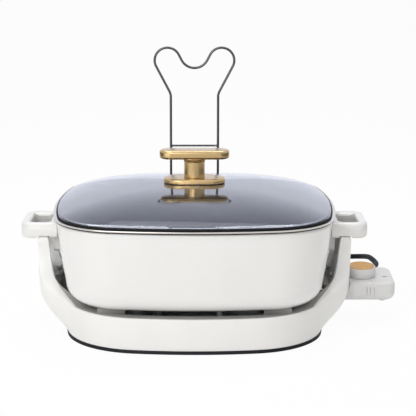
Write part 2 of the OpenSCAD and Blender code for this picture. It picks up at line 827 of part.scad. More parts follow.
// Lid holder: one wire bent in the upright plane behind the pan
horn_c = sin(horn_lean);
horn_s = cos(horn_lean);
dip_c = dip_z + dip_r;
horn_run = 7.7;
horn_at = [dip_r * horn_s + horn_run * horn_c + horn_r * horn_s,
  dip_c - dip_r * horn_c + horn_run * horn_s - horn_r * horn_c];
bend_at = [leg_half, horn_at.y - horn_r * horn_c - (horn_at.x + horn_r * horn_s - leg_half) * horn_s / horn_c];
leg_low = socket_low + socket_floor + 0.5;
function arc(c, r, a0, a1, n) =
  [for (i = [0 : n]) let (a = a0 + (a1 - a0) * i / n) [c.x + r * cos(a), c.y + r * sin(a)]];
half_wire = concat(
  arc([0, dip_c], dip_r, -90, -horn_lean, 6),
  arc(horn_at, horn_r, 180 - horn_lean, -horn_lean, 14),
  [bend_at + [2 * horn_c, 2 * horn_s], bend_at + [0.2, -1], bend_at + [0, -3]],
  [for (z = [cross_z + 2 * wire_d, cross_z - 2 * wire_d, (cross_z + leg_low) / 2, leg_low]) [leg_half, z]]);
whole_wire = concat(
  [for (i = [len(half_wire) - 1 : -1 : 1]) [-half_wire[i].x, holder_y, half_wire[i].y]],
  [for (p = half_wire) [p.x, holder_y, p.y]]);
module lid_holder_wire() {
  color("silver")
    tube(whole_wire, wire_d / 2, 10);
}
cross_d = 2.4;
module lid_holder_crossbar() {
  color("silver")
    rod(-leg_half + wire_d / 2, holder_y, cross_z, cross_d / 2, 2 * leg_half - wire_d);
}

// Control
ctl_end = ctl_x + ctl_len;
ctl_split = inlet_z;
dial_x = ctl_x + dial_r + body_gap;
shaft_r = 3;
ctl_corner = 10;
far = 200;
module at_dial() {
  translate([dial_x, 0, ctl_top])
    rotate([ctl_tilt, 0, 0])
      children();
}
module ctl_plan(inset) {
  difference() {
    round_plate(ctl_x - ctl_corner, ctl_end - inset, ctl_half - inset, ctl_corner - inset);
    translate([ctl_x - far, -far])
      square([far + inset, 2 * far]);
  }
}
module below_top(drop) {
  intersection() {
    children();
    at_dial()
      translate([-far, -far, -far - drop])
        cube([2 * far, 2 * far, far]);
  }
}
module nose_opening() {
  translate([ctl_x - 1, -nose_half - seat_gap, inlet_z - nose_h / 2 - seat_gap])
    cube([ctl_wall + 2, 2 * (nose_half + seat_gap), nose_h + 2 * seat_gap]);
}
relief_in = 34;
relief_x = ctl_x + relief_in;
relief_z = inlet_z + 2.5;
relief_len = 30;
relief_neck = 1.4;
relief_thick = 2.4;
relief_thin = 0.7;
module relief_opening() {
  translate([relief_x, ctl_half - 2 * ctl_wall, relief_z])
    rotate([-90, 0, 0])
      cylinder(r = cord_d / 2 + relief_neck + 2 * seat_gap, h = 4 * ctl_wall);
}
lens_at = [ctl_end - 8, -6];
lens_len = 5;
lens_w = 2;
lens_deep = 5;
boss_in = 12;
boss_side = 10;
ctl_boss_r = 3.6;
ctl_screw_r = 1.6;
ctl_head_r = 2.8;
ctl_head_h = 1.2;
module control_top() {
  color("gainsboro")
    difference() {
      below_top(0)
        translate([0, 0, ctl_split])
          linear_extrude(far)
            ctl_plan(0);
      below_top(ctl_wall)
        translate([0, 0, ctl_split - 1])
          linear_extrude(far)
            ctl_plan(ctl_wall);
      nose_opening();
      relief_opening();
      at_dial()
        translate([0, 0, -2 * ctl_wall])
          cylinder(r = shaft_r + run_gap, h = 4 * ctl_wall);
      translate([lens_at.x - lens_len / 2 - seat_gap, lens_at.y - lens_w / 2 - seat_gap, lens_z - 2 * ctl_wall])
        cube([lens_len + 2 * seat_gap, lens_w + 2 * seat_gap, 4 * ctl_wall]);
    }
}
module control_base() {
  color("gainsboro")
    difference() {
      union() {
        difference() {
          translate([0, 0, ctl_z])
            linear_extrude(ctl_split - ctl_z)
              ctl_plan(0);
          translate([0, 0, ctl_z + ctl_wall])
            linear_extrude(far)
              ctl_plan(ctl_wall);
        }
        for (s = [-1, 1])
          translate([ctl_end - boss_in, s * (ctl_half - boss_side), ctl_z])
            cylinder(r = ctl_boss_r, h = ctl_split - ctl_z);
      }
      nose_opening();
      relief_opening();
      for (s = [-1, 1])
        translate([ctl_end - boss_in, s * (ctl_half - boss_side), ctl_z - 1])
          cylinder(r = ctl_screw_r + seat_gap, h = far);
    }
}
module control_screws() {
  color("silver")
    for (s = [-1, 1])
      translate([ctl_end - boss_in, s * (ctl_half - boss_side), ctl_z])
        mirror([0, 0, 1])
          screw(ctl_screw_r, ctl_split - ctl_z + 4, ctl_head_r, ctl_head_h);
}
nose_in = 8;
nose_end = ctl_x + nose_in;
sleeve_r = pin_r + 0.2 + sleeve_t;
module contact_block() {
  color("ivory")
    difference() {
      translate([nose_x, -nose_half, inlet_z - nose_h / 2])
        cube([nose_end - nose_x, 2 * nose_half, nose_h]);
      rod(nose_x - 1, 0, inlet_z, probe_r + run_gap, nose_end - nose_x + 2);
      for (s = [-1, 1])
        rod(nose_x - 1, s * pin_y, inlet_z, sleeve_r + run_gap, nose_end - nose_x + 2);
    }
}
module contact_sleeves() {
  color("gold")
    for (s = [-1, 1])
      difference() {
        rod(nose_x + 0.5, s * pin_y, inlet_z, sleeve_r, nose_end - nose_x - 0.5);
        rod(nose_x, s * pin_y, inlet_z, sleeve_r - sleeve_t, pin_reach + 1);
      }
}
probe_tip = plate_r + cup_end + 1;
module probe_rod() {
  color("silver")
    rod(probe_tip, 0, inlet_z, probe_r, nose_end + 1.5 - probe_tip);
}
frame_x = nose_end + 5;
frame_low = ctl_z + ctl_wall;
frame_len = 26;
frame_half = 14;
frame_t = 1.2;
frame_web_x = 20;
frame_web_t = 2;
frame_web_h = 7;
module thermostat_frame() {
  color("lightgray") {
    translate([frame_x, -frame_half, frame_low])
      cube([frame_len, 2 * frame_half, frame_t]);
    translate([frame_x + frame_web_x, -frame_half, frame_low])
      cube([frame_web_t, 2 * frame_half, frame_web_h]);
  }
}
module blade(len, w, foot_len, rise, t) {
  translate([0, -w / 2, 0])
    cube([foot_len, w, rise]);
  translate([0, -w / 2, rise])
    cube([len, w, t]);
}
module bimetal_blade() {
  color("peru")
    translate([frame_x, 0, frame_low + frame_t])
      blade(19, 8, 4, 3.4, 1);
}
module contact_blades() {
  color("gold")
    for (s = [-1, 1])
      translate([frame_x + 1, s * 10, frame_low + frame_t])
        blade(18, 5, 3, 2.2, 0.6);
}
lamp_r = 2.2;
lamp_h = 13;
module indicator_lamp() {
  color("orangered")
    translate([lens_at.x, lens_at.y, frame_low])
      cylinder(r = lamp_r, h = lamp_h);
}
lens_z = ctl_top + lens_at.y * tan(ctl_tilt);
module indicator_lens() {
  color("dimgray")
    below_top(0)
      translate([lens_at.x - lens_len / 2, lens_at.y - lens_w / 2, lens_z - lens_deep])
        cube([lens_len, lens_w, 2 * lens_deep]);
}
module strain_relief() {
  color("black")
    translate([relief_x, ctl_half - ctl_wall, relief_z])
      rotate([-90, 0, 0])
        union() {
          cylinder(r = cord_d / 2 + relief_neck, h = ctl_wall + seat_gap);
          translate([0, 0, ctl_wall + seat_gap])
            cylinder(r1 = cord_d / 2 + relief_thick, r2 = cord_d / 2 + relief_thin, h = relief_len - seat_gap);
        }
}

// Cord: a route on the counter behind the base, then a tied coil and the plug
coil_at = [100, 222];
coil_z = 4.2;
coil_out = coil_r + coil_step / 2;
cord_route = [[206, 59, 38], [206, 66, 38], [208, 80, 37.2], [213, 98, 34.6], [218.5, 116, 31.6],
  [221.6, 134, 29.8], [221.4, 152, 28.7], [220.6, 168, 27.4], [219.6, 184, 25.6], [217.7, 200, 22.6],
  [213.2, 216, 19], [201.1, 235, 14.3], [186, 249, 10.5], [168, 258.5, 7.5], [148, 263, 5.4], [130, 264, 4.5],
  [116, 263.4, 4.2], [106.5, 263.1, 4.2], [100, 263.1, 4.2]];
cord_start = [relief_x, ctl_half + relief_len, relief_z];
module cord_lead() {
  color("black")
    tube([for (i = [0 : len(cord_route) - 1])
      i < 2 ? [cord_start.x, cord_start.y + i * 7, cord_start.z]
        : i > len(cord_route) - 3 ? [cord_route[i].x, coil_at.y + coil_out, coil_z]
        : cord_route[i]], cord_d / 2, 10);
}
plug_gap = 38;
loop_rings = 24;
coil_turn = 360 * coil_loops;
function coil_radius(a) = coil_r + coil_step * coil_loops / 2 * (abs(2 * a / coil_turn - 1) - 0.5);
function coil_rise(a) = coil_step * ease((a - coil_turn / 2 + 90) / 180);
function coil_spot(a) =
  [coil_at.x + coil_radius(a) * cos(90 + a), coil_at.y + coil_radius(a) * sin(90 + a), coil_z + coil_rise(a)];
coil_path = concat(
  [for (d = [0, cord_d / 3]) [coil_at.x - d, coil_at.y + coil_out, coil_z]],
  [for (i = [1 : loop_rings * coil_loops - 1]) coil_spot(360 * i / loop_rings)],
  [for (d = [0, cord_d, plug_gap]) [coil_at.x - d, coil_at.y + coil_out, coil_z + coil_step]]);
coil_gap = min([for (i = [0 : len(coil_path) - 1], j = [0 : len(coil_path) - 1])
  if (j - i > loop_rings / 2) norm(coil_path[i] - coil_path[j])]) - cord_d;
echo(least_gap_between_turns = coil_gap);
module cord_coil() {
  color("black")
    tube(coil_path, cord_d / 2, 6);
}
tie_w = 8;
tie_t = 0.7;
tie_in = cord_d / 2 + 2 * seat_gap;
tie_half = tie_in + tie_w * tie_w / (8 * coil_r) + seat_gap;
module cord_tie() {
  low = coil_z - tie_in;
  high = coil_z + coil_step + tie_in;
  color("dimgray")
    translate([coil_at.x - tie_w / 2, coil_at.y - coil_r, 0])
      difference() {
        translate([0, -tie_half - tie_t, low - tie_t])
          cube([tie_w, 2 * (tie_half + tie_t), high - low + 2 * tie_t]);
        translate([-1, -tie_half, low])
          cube([tie_w + 2, 2 * tie_half, high - low]);
      }
}
plug_x = coil_at.x - plug_gap;
plug_y = coil_at.y + coil_out;
plug_z = coil_z + coil_step;
plug_len = 34;
plug_w = 26;
plug_tail = 12;
plug_neck = 0.8;
plug_swell = 3.2;
blade_len = 17;
blade_t = 1.5;
blade_h = 6.3;
blade_y = 6.35;
module plug_body() {
  color("black")
    translate([plug_x, plug_y, plug_z])
      rotate([0, -90, 0]) {
        cylinder(r1 = cord_d / 2 + plug_neck, r2 = cord_d / 2 + plug_swell, h = plug_tail);
        translate([-plug_z, -plug_w / 2, plug_tail])
          cube([2 * plug_z, plug_w, plug_len - plug_tail]);
      }
}
module plug_blades() {
  color("gold")
    for (s = [-1, 1])
      translate([plug_x - plug_len - blade_len, plug_y + s * blade_y - blade_t / 2, plug_z - blade_h / 2])
        cube([blade_len, blade_t, blade_h]);
}

// Dial
dial_edge = 1.6;
cap_r = dial_r - dial_edge;
cap_t = 1.5;
cap_proud = 0.4;
dial_lift = 0.6;
dial_bore = 6;
module dial_ring() {
  color("gainsboro")
    at_dial()
      difference() {
        rotate_extrude()
          polygon([[0, dial_lift], [dial_r, dial_lift], [dial_r, dial_h - cap_proud - 1.2],
            [dial_r - 1, dial_h - cap_proud], [0, dial_h - cap_proud]]);
        translate([0, 0, dial_h - cap_t])
          cylinder(r = cap_r + seat_gap, h = 2 * cap_t);
        cylinder(r = shaft_r + run_gap, h = dial_bore);
      }
}
module dial_cap() {
  color("goldenrod")
    at_dial()
      translate([0, 0, dial_h - cap_t])
        cylinder(r = cap_r, h = cap_t);
}
shaft_low = 9;
cam_r = 6;
cam_t = 2;
cam_flat = 3.5;
module dial_shaft() {
  color("silver")
    at_dial() {
      translate([0, 0, -shaft_low])
        cylinder(r = shaft_r, h = shaft_low + dial_bore - 0.2);
      translate([0, 0, -shaft_low - cam_t])
        difference() {
          cylinder(r = cam_r, h = cam_t);
          translate([cam_flat, -cam_r, -1])
            cube([cam_r, 2 * cam_r, cam_t + 2]);
        }
    }
}

cradle_shell();
foot_ring();
bottom_cover();
bottom_screws();
left_arm_cover();
right_arm_cover();
arm_cover_screws();
shield_standoffs();
heat_shield();
pan_support_pads();
plate_posts();
heating_plate();
heating_element();
element_clips();
thermal_fuse();
probe_cup();
inlet_socket();
terminal_pins();
internal_wires();
holder_socket();
holder_socket_screws();
pan_body();
left_handle();
right_handle();
handle_studs();
handle_screws();
lid_glass();
lid_rim();
knob();
knob_flange();
knob_gasket();
knob_washer();
knob_screw();
lid_holder_wire();
lid_holder_crossbar();
control_top();
control_base();
control_screws();
contact_block();
contact_sleeves();
probe_rod();
thermostat_frame();
bimetal_blade();
contact_blades();
indicator_lamp();
indicator_lens();
strain_relief();
cord_lead();
cord_coil();
cord_tie();
plug_body();
plug_blades();
dial_ring();
dial_cap();
dial_shaft();
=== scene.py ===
import math

import bmesh
import bpy
from bpy.props import FloatProperty, FloatVectorProperty, IntProperty, PointerProperty
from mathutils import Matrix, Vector


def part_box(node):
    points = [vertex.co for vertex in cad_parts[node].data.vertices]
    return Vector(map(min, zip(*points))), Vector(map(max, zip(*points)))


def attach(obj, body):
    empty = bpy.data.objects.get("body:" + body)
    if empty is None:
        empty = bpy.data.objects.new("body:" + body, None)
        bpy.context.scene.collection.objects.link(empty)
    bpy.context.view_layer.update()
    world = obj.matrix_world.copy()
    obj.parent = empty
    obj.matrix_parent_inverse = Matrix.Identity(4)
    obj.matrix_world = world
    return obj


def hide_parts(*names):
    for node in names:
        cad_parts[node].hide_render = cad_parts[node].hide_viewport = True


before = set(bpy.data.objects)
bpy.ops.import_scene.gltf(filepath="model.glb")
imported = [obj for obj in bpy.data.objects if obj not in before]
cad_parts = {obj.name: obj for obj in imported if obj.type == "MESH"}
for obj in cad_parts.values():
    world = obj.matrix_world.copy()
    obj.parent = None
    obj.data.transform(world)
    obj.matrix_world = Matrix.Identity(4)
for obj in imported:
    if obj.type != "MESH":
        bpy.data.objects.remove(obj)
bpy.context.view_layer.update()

bl_info = {
    "name": "Electric skillet",
    "version": (1, 0, 0),
    "blender": (4, 5, 0),
    "location": "3D View > Sidebar > Skillet",
    "description": "Dresses the solids of an electric skillet with fine shapes and finishes",
    "category": "Object",
}


# Sizes and colours that a user may change


def length(name, text, default):
    """A size in metres."""
    return FloatProperty(name=name, description=text, default=default, unit="LENGTH", precision=4)


def angle(name, text, degrees):
    """An angle, given in degrees."""
    return FloatProperty(name=name, description=text, default=math.radians(degrees), subtype="ANGLE")


def number(name, text, default, unit="NONE"):
    """A plain number, or a power."""
    return FloatProperty(name=name, description=text, default=default, unit=unit)


def tint(name, text, default):
    """A colour."""
    return FloatVectorProperty(
        name=name, description=text, default=default, subtype="COLOR", size=3, min=0, max=1
    )


class SkilletPan(bpy.types.PropertyGroup):
    """Sizes of the pan."""

    half: length("Half width", "Half the pan's outer width at its rim", 0.1505)
    corner: length("Corner", "Plan radius of the corners at the lid's edge", 0.075)
    bow: length("Bow", "Plan radius of the bowed sides", 0.520)
    bottom: length("Bottom", "Height of the underside", 0.0415)
    rim: length("Rim", "Height of the rim", 0.1284)
    draft: length("Draft", "How far the wall draws in", 0.0125)
    fillet: length("Fillet", "Radius between wall and bottom", 0.022)
    wall: length("Wall", "Thickness of the wall", 0.0032)
    floor: length("Floor", "Thickness of the floor", 0.004)


class SkilletLid(bpy.types.PropertyGroup):
    """Sizes of the lid and its knob."""

    over: length("Overhang", "Overhang of the steel band beyond the pan", 0.002)
    low: length("Band bottom", "Height of the band's lower edge", 0.1287)
    sheet: length("Sheet", "Sheet of the steel band", 0.0016)
    glass: length("Glass", "Thickness of the glass", 0.0037)
    rise: length("Rise", "Rise of the dome", 0.021)
    bar_len: length("Bar length", "Length of the knob's bar", 0.077)
    bar_deep: length("Bar depth", "Depth of the knob's bar", 0.028)
    bar_t: length("Bar thickness", "Thickness of the knob's bar", 0.0096)
    stem: length("Stem", "Diameter of the knob's stem", 0.023)
    flange_len: length("Flange length", "Length of the oval flange", 0.068)
    flange_deep: length("Flange depth", "Depth of the oval flange", 0.040)


class SkilletBase(bpy.types.PropertyGroup):
    """Sizes of the base and its arms."""

    half: length("Half width", "Half the width at the counter", 0.1405)
    corner: length("Corner", "Plan radius of the corners", 0.085)
    bow: length("Bow", "Plan radius of the bowed sides", 0.435)
    rim: length("Rim", "Height of the front rim", 0.037)
    foot: length("Foot", "Height of the foot ring", 0.003)
    foot_w: length("Foot width", "Width of the foot ring", 0.009)
    wall: length("Wall", "Wall of the shell", 0.003)
    lip_h: length("Lip height", "Height of the turned lip", 0.0035)
    lip_t: length("Lip depth", "Depth of the turned lip", 0.0032)
    arm_out: length("Arm reach", "How far an arm stands out", 0.0282)
    arm_lean: length("Arm lean", "Extra lean of an arm to its top", 0.0036)
    arm_half: length("Arm depth", "Half the depth of an arm's top", 0.035)
    arm_deep: length("Arm thickness", "Thickness of an arm at its top", 0.0114)
    arm_top: length("Arm top", "Height of an arm's top", 0.1011)
    slant: number("Slant", "Slant of an arm's foot: outwards against up", 1.2)
    bend: length("Bend", "Blend between the slant and the steep face", 0.024)
    spread: length("Spread", "How far an arm's foot spreads", 0.055)
    taper: length("Taper", "Taper of an arm's edges", 0.003)
    blend: length("Blend", "How far an arm's swelling reaches beyond its top", 0.060)
    fade: length("Fade", "Length over which the swelling fades out", 0.055)


class SkilletHandles(bpy.types.PropertyGroup):
    """Sizes of the two handles."""

    reach: length("Reach", "Reach of the outer end from the middle", 0.1895)
    half: length("Half depth", "Half the depth of a handle", 0.036)
    low: length("Underside", "Height of the underside", 0.098)
    high: length("Height", "Height of a handle", 0.0175)
    bar: length("End bar", "Bar outside the finger slot", 0.010)
    side: length("Side bar", "Bar in front of and behind the slot", 0.014)
    root: length("Root", "Bar between the pan and the slot", 0.009)


class SkilletHolder(bpy.types.PropertyGroup):
    """Sizes of the lid holder."""

    wire: length("Wire", "Diameter of the wire", 0.003)
    leg: length("Leg", "Half the distance between the legs", 0.0286)
    dip: length("Dip", "Height of the dip", 0.266)
    dip_r: length("Dip radius", "Radius of the dip", 0.0175)
    horn_r: length("Horn radius", "Radius of the horns", 0.0153)
    lean: angle("Lean", "Lean of the runs beside the horns", 27.8)
    run: length("Run", "Straight run between dip and horn", 0.0077)
    cross: length("Cross bar", "Height of the cross bar", 0.1715)
    cross_d: length("Cross wire", "Diameter of the cross bar", 0.0024)


class SkilletControl(bpy.types.PropertyGroup):
    """Sizes of the plug-in control."""

    half: length("Half depth", "Half the depth of the housing", 0.029)
    low: length("Underside", "Height of the underside", 0.0265)
    split: length("Split", "Height of the split line", 0.0355)
    top: length("Top", "Height of the top at the dial", 0.0492)
    wall: length("Wall", "Wall of the housing", 0.0022)
    corner: length("Corner", "Radius of the outer corners", 0.010)
    tilt: angle("Tilt", "Slope of the top towards the user", 5)
    dial_r: length("Dial radius", "Radius of the dial", 0.0158)
    dial_h: length("Dial height", "Height of the dial", 0.0112)
    relief: length("Relief", "Length of the strain relief", 0.030)


class SkilletCord(bpy.types.PropertyGroup):
    """Sizes of the cord."""

    thick: length("Diameter", "Diameter of the cord", 0.0065)
    coil: length("Coil", "Mean radius of the coil", 0.0375)
    step: length("Step", "Distance between turns", 0.0072)
    loops: IntProperty(name="Loops", description="Loops in the coil", default=2, min=2)


class SkilletColours(bpy.types.PropertyGroup):
    """Colours of the finishes."""

    shell: tint("Shell", "Moulded base", (0.91, 0.905, 0.885))
    handle: tint("Handle", "Handles of the pan", (0.84, 0.835, 0.815))
    # The darker grey on the finger slots' inner faces is painted shade for the shade inside the slots.
    grip: tint("Grip", "Finger slots of the handles", (0.50, 0.495, 0.48))
    # The grey of the strips behind the rim is painted shade for the shade under the pan.
    ledge: tint("Ledge", "Strip behind the base's rim", (0.38, 0.375, 0.36))
    enamel: tint("Enamel", "Outside of the pan", (0.87, 0.865, 0.85))
    inner: tint("Coating", "Non-stick inside of the pan", (0.035, 0.036, 0.045))
    gold: tint("Gold", "Knob and flange", (0.53, 0.375, 0.18))
    dial_gold: tint("Dial gold", "Cap of the dial", (0.54, 0.275, 0.05))
    grey: tint("Pale grey", "Control housing", (0.76, 0.755, 0.745))
    steel: tint("Steel", "Band of the lid", (0.58, 0.55, 0.50))
    # The near-black colour of the chrome paints the dark surroundings that the wire reflects: painted
    # reflection.
    chrome: tint("Chrome with painted dark reflection", "Lid holder", (0.10, 0.10, 0.105))
    black: tint("Black", "Cord and rubber", (0.004, 0.0045, 0.007))
    glass: tint("Glass", "Tint of the lid's glass", (0.80, 0.81, 0.87))


class SkilletStudio(bpy.types.PropertyGroup):
    """Camera and light."""

    back: length("Distance", "Camera's distance in front of the middle", 1.4707)
    high: length("Height", "Camera's height above the counter", 0.4208)
    down: angle("Down", "How far the camera looks down", 11.35)
    lens: number("Lens", "Focal length on a 36 mm frame", 116.9)
    shift: number("Shift", "Sideways shift of the frame", 0.0325)
    fill: number("Fill", "Light from all round", 0.48)
    key: number("Key", "Power of the main lamp", 13.5, "POWER")


# Finishes: colour, which in words is one that the user sets, roughness, share and scale of the colour's
# patches, and depth and scale of the grain


def look(colour, rough, mottle, grain, **more):
    """Settings of a finish."""
    return dict(colour=colour, rough=rough, mottle=mottle, grain=grain, **more)


FINISHES = {
    "moulded_white": look("shell", 0.34, (0.015, 30), (0.03, 900), Coat_Weight=0.15, Coat_Roughness=0.2),
    "handle_white": look("handle", 0.30, (0.015, 35), (0.03, 900), Coat_Weight=0.2, Coat_Roughness=0.15),
    "enamel_white": look("enamel", 0.22, (0.012, 25), (0.02, 160), Coat_Weight=0.4, Coat_Roughness=0.08),
    # Lit and shaded copies of one white for the arm covers: the left one slightly lighter and glossier,
    # painted light, the right one painted shade.
    "cover_gloss": look((0.92, 0.915, 0.90), 0.24, (0.02, 45), (0.006, 300),
                        Coat_Weight=0.5, Coat_Roughness=0.2),
    "cover_matt": look((0.90, 0.895, 0.88), 0.55, (0.02, 45), (0.02, 300)),
    "dial_white": look((0.74, 0.74, 0.74), 0.32, (0.02, 60), (0.04, 900)),
    "control_grey": look("grey", 0.42, (0.02, 50), (0.08, 1100)),
    "grip_grey": look("grip", 0.55, (0.03, 60), (0.06, 900)),
    "ledge_grey": look("ledge", 0.55, (0.04, 50), (0.06, 900)),
    "tie_plastic": look((0.06, 0.06, 0.065), 0.5, (0.15, 80), (0.06, 700)),
    "pan_coating": look("inner", 0.38, (0.18, 1400), (0.10, 1200)),
    "black_rubber": look("black", 0.6, (0.25, 90), (0.15, 1300), Specular_IOR_Level=0.25),
    "cord_sheath": look("black", 0.6, (0.25, 120), (0.10, 900), Specular_IOR_Level=0.1),
    # Black for the dark lines round the lid: painted shadow under the band and painted reflection round the
    # glass.
    "seal_black": look((0.006, 0.006, 0.006), 0.6, (0.2, 90), (0.08, 900), Specular_IOR_Level=0.15),
    "satin_gold": look("gold", 0.22, (0.015, 120), (0.012, 260), stretch=(1, 1, 14), Metallic=1.0),
    "dial_gold": look("dial_gold", 0.32, (0.05, 90), (0.08, 320), stretch=(1, 14, 1), Metallic=1.0),
    "band_steel": look("steel", 0.20, (0.05, 60), (0.04, 300), stretch=(1, 1, 10), Metallic=1.0),
    # Chrome with a near-black colour: painted reflection of dark surroundings.
    "chrome_wire": look("chrome", 0.20, (0.01, 80), (0.002, 400), swing=0.02, Metallic=1.0),
    "plug_brass": look((0.74, 0.60, 0.32), 0.24, (0.06, 90), (0.03, 500), Metallic=1.0),
    "lid_glass": look("glass", 0.012, (0.004, 12), (0.0006, 25), swing=0.008,
                      Transmission_Weight=1.0, IOR=1.49, Specular_Tint=(0.82, 0.88, 1.0, 1.0)),
}

# Inner solids that keep their shape, by finish: colour, roughness, metal or not, and the solids
INNER = {
    "cover_pale": ((0.62, 0.61, 0.59), 0.55, 0.0, "bottom_cover"),
    "pad_grey": ((0.36, 0.36, 0.35), 0.60, 0.0, "pan_support_pads"),
    "ceramic_white": ((0.80, 0.78, 0.73), 0.45, 0.0, "thermal_fuse"),
    "ceramic_ivory": ((0.72, 0.69, 0.60), 0.48, 0.0, "inlet_socket", "contact_block"),
    "wire_sleeve": ((0.66, 0.65, 0.62), 0.60, 0.0, "internal_wires"),
    # The gasket's tan paints the flange's reflection seen below it: painted reflection.
    "gasket_tan": ((0.46, 0.38, 0.26), 0.60, 0.0, "knob_gasket"),
    "gasket_grey": ((0.18, 0.18, 0.19), 0.60, 0.0, "knob_washer"),
    "lamp_red": ((0.60, 0.07, 0.03), 0.20, 0.0, "indicator_lamp"),
    "lens_smoke": ((0.06, 0.05, 0.05), 0.16, 0.0, "indicator_lens"),
    "screw_steel": ((0.55, 0.55, 0.55), 0.30, 1.0, "bottom_screws", "holder_socket_screws", "handle_studs",
                    "handle_screws", "knob_screw", "control_screws"),
    "cover_screw_steel": ((0.30, 0.30, 0.30), 0.40, 1.0, "arm_cover_screws"),
    "sheet_metal": ((0.60, 0.61, 0.62), 0.36, 1.0, "shield_standoffs", "plate_posts", "element_clips",
                    "probe_cup", "thermostat_frame", "dial_shaft"),
    "bright_shield": ((0.93, 0.93, 0.92), 0.38, 1.0, "heat_shield"),
    "cast_aluminium": ((0.58, 0.58, 0.58), 0.50, 1.0, "heating_plate"),
    "element_sheath": ((0.16, 0.15, 0.14), 0.45, 1.0, "heating_element"),
    "plated_pins": ((0.70, 0.70, 0.68), 0.22, 1.0, "terminal_pins"),
    "probe_steel": ((0.66, 0.65, 0.63), 0.24, 1.0, "probe_rod"),
    "brass": ((0.70, 0.55, 0.25), 0.30, 1.0, "contact_sleeves", "contact_blades"),
    "bimetal": ((0.56, 0.42, 0.30), 0.34, 1.0, "bimetal_blade"),
}
FINISHES.update({name: look(colour, rough, (0.05, 70), (0.06, 600), Metallic=metal)
                 for name, (colour, rough, metal, *_) in INNER.items()})


def set_inputs(node, inputs):
    """Sets inputs of a node, whose names have underscores for spaces."""
    for name, value in inputs.items():
        node.inputs[name.replace("_", " ")].default_value = value


def node_of(tree, kind, **inputs):
    """A new node with some of its inputs set."""
    node = tree.nodes.new(kind)
    set_inputs(node, inputs)
    return node


def finish(name):
    """The finish of that name, made when it is first asked for."""
    label = "fine_" + name
    if label not in bpy.data.materials:
        paint(bpy.data.materials.new(label), **FINISHES[name])
    return bpy.data.materials[label]


def paint(material, colour, rough, mottle, grain, stretch=(1, 1, 1), swing=0.05, **sockets):
    """Gives a material uneven colour and gloss and a fine surface grain."""
    if isinstance(colour, str):
        colour = getattr(bpy.context.scene.skillet_colours, colour)
    share, patches = mottle
    depth, grains = grain
    start, stop = 0.3, 0.7
    material.use_nodes = True
    tree = material.node_tree
    link = tree.links.new
    shader = tree.nodes["Principled BSDF"]
    set_inputs(shader, sockets)
    spot = node_of(tree, "ShaderNodeTexCoord")
    turn = node_of(tree, "ShaderNodeMapping", Scale=stretch)
    link(spot.outputs["Object"], turn.inputs["Vector"])
    cloud = node_of(tree, "ShaderNodeTexNoise", Scale=patches, Detail=4.0)
    link(turn.outputs["Vector"], cloud.inputs["Vector"])
    ramp = node_of(tree, "ShaderNodeValToRGB")
    for end, level, at in zip(ramp.color_ramp.elements, (1 - share, 1 + share), (start, stop)):
        end.position = at
        end.color = [min(1.0, c * level) for c in colour] + [1.0]
    link(cloud.outputs["Fac"], ramp.inputs["Fac"])
    link(ramp.outputs["Color"], shader.inputs["Base Color"])
    gloss = node_of(tree, "ShaderNodeMapRange", From_Min=start, From_Max=stop,
                    To_Min=max(0.0, rough - swing), To_Max=rough + swing)
    link(cloud.outputs["Fac"], gloss.inputs["Value"])
    link(gloss.outputs["Result"], shader.inputs["Roughness"])
    fine = node_of(tree, "ShaderNodeTexNoise", Scale=grains, Detail=3.0)
    link(turn.outputs["Vector"], fine.inputs["Vector"])
    bump = node_of(tree, "ShaderNodeBump", Strength=depth, Distance=0.0002)
    link(fine.outputs["Fac"], bump.inputs["Height"])
    link(bump.outputs["Normal"], shader.inputs["Normal"])


# Shapes

RIGHT_ANGLE = math.pi / 2


class Outline:
    """A square with bowed sides and round corners, traced by the direction it faces."""

    def __init__(self, half, corner, bow):
        aside, spare = half - bow, bow - corner
        self.half, self.corner, self.bow = half, corner, bow
        self.centre = (aside + math.sqrt(2 * spare * spare - aside * aside)) / 2
        self.swing = math.atan2(self.centre, self.centre - half + bow)

    def angles(self, bow_steps=10, corner_steps=22):
        """Facing angles all the way round."""
        side, corner = 2 * self.swing, RIGHT_ANGLE - 2 * self.swing
        found = []
        for k in range(4):
            found += [k * RIGHT_ANGLE - self.swing + side * i / bow_steps for i in range(bow_steps)]
            found += [k * RIGHT_ANGLE + self.swing + corner * i / corner_steps for i in range(corner_steps)]
        return found

    def point(self, facing, grow=0.0):
        """The point that faces that way, moved out by grow."""
        k = round(facing / RIGHT_ANGLE)
        a = facing - k * RIGHT_ANGLE
        if abs(a) <= self.swing + 1e-6:
            x = self.half - self.bow + self.bow * math.cos(a)
            y = self.bow * math.sin(a)
        else:
            x = self.centre + self.corner * math.cos(a)
            y = math.copysign(self.centre, a) + self.corner * math.sin(a)
        c, s = round(math.cos(k * RIGHT_ANGLE)), round(math.sin(k * RIGHT_ANGLE))
        x, y = x * c - y * s, x * s + y * c
        return x + grow * math.cos(facing), y + grow * math.sin(facing)

    def ring(self, angles, grow, z):
        """A level ring, moved out by grow."""
        return [(*self.point(a, grow), z) for a in angles]

    def facing(self, y):
        """The angle that the point at depth y faces, on the right-hand side."""
        if y <= self.bow * math.sin(self.swing):
            return math.asin(y / self.bow)
        return math.asin((y - self.centre) / self.corner)


def span(start, stop, steps):
    """Even steps from start to stop, both ends included."""
    return [start + (stop - start) * i / steps for i in range(steps + 1)]


def quarter(start, stop, steps):
    """Pairs of cosine and sine from one angle in degrees to another."""
    return [(math.cos(math.radians(a)), math.sin(math.radians(a))) for a in span(start, stop, steps)]


def ease(t):
    """A smooth step from 0 to 1."""
    t = max(0.0, min(1.0, t))
    return t * t * (3 - 2 * t)


def last_true(test):
    """The largest share from 0 to 1 at which a test still holds, if it fails from there on."""
    low, high = 0.0, 1.0
    for _ in range(40):
        middle = (low + high) / 2
        low, high = (middle, high) if test(middle) else (low, middle)
    return low


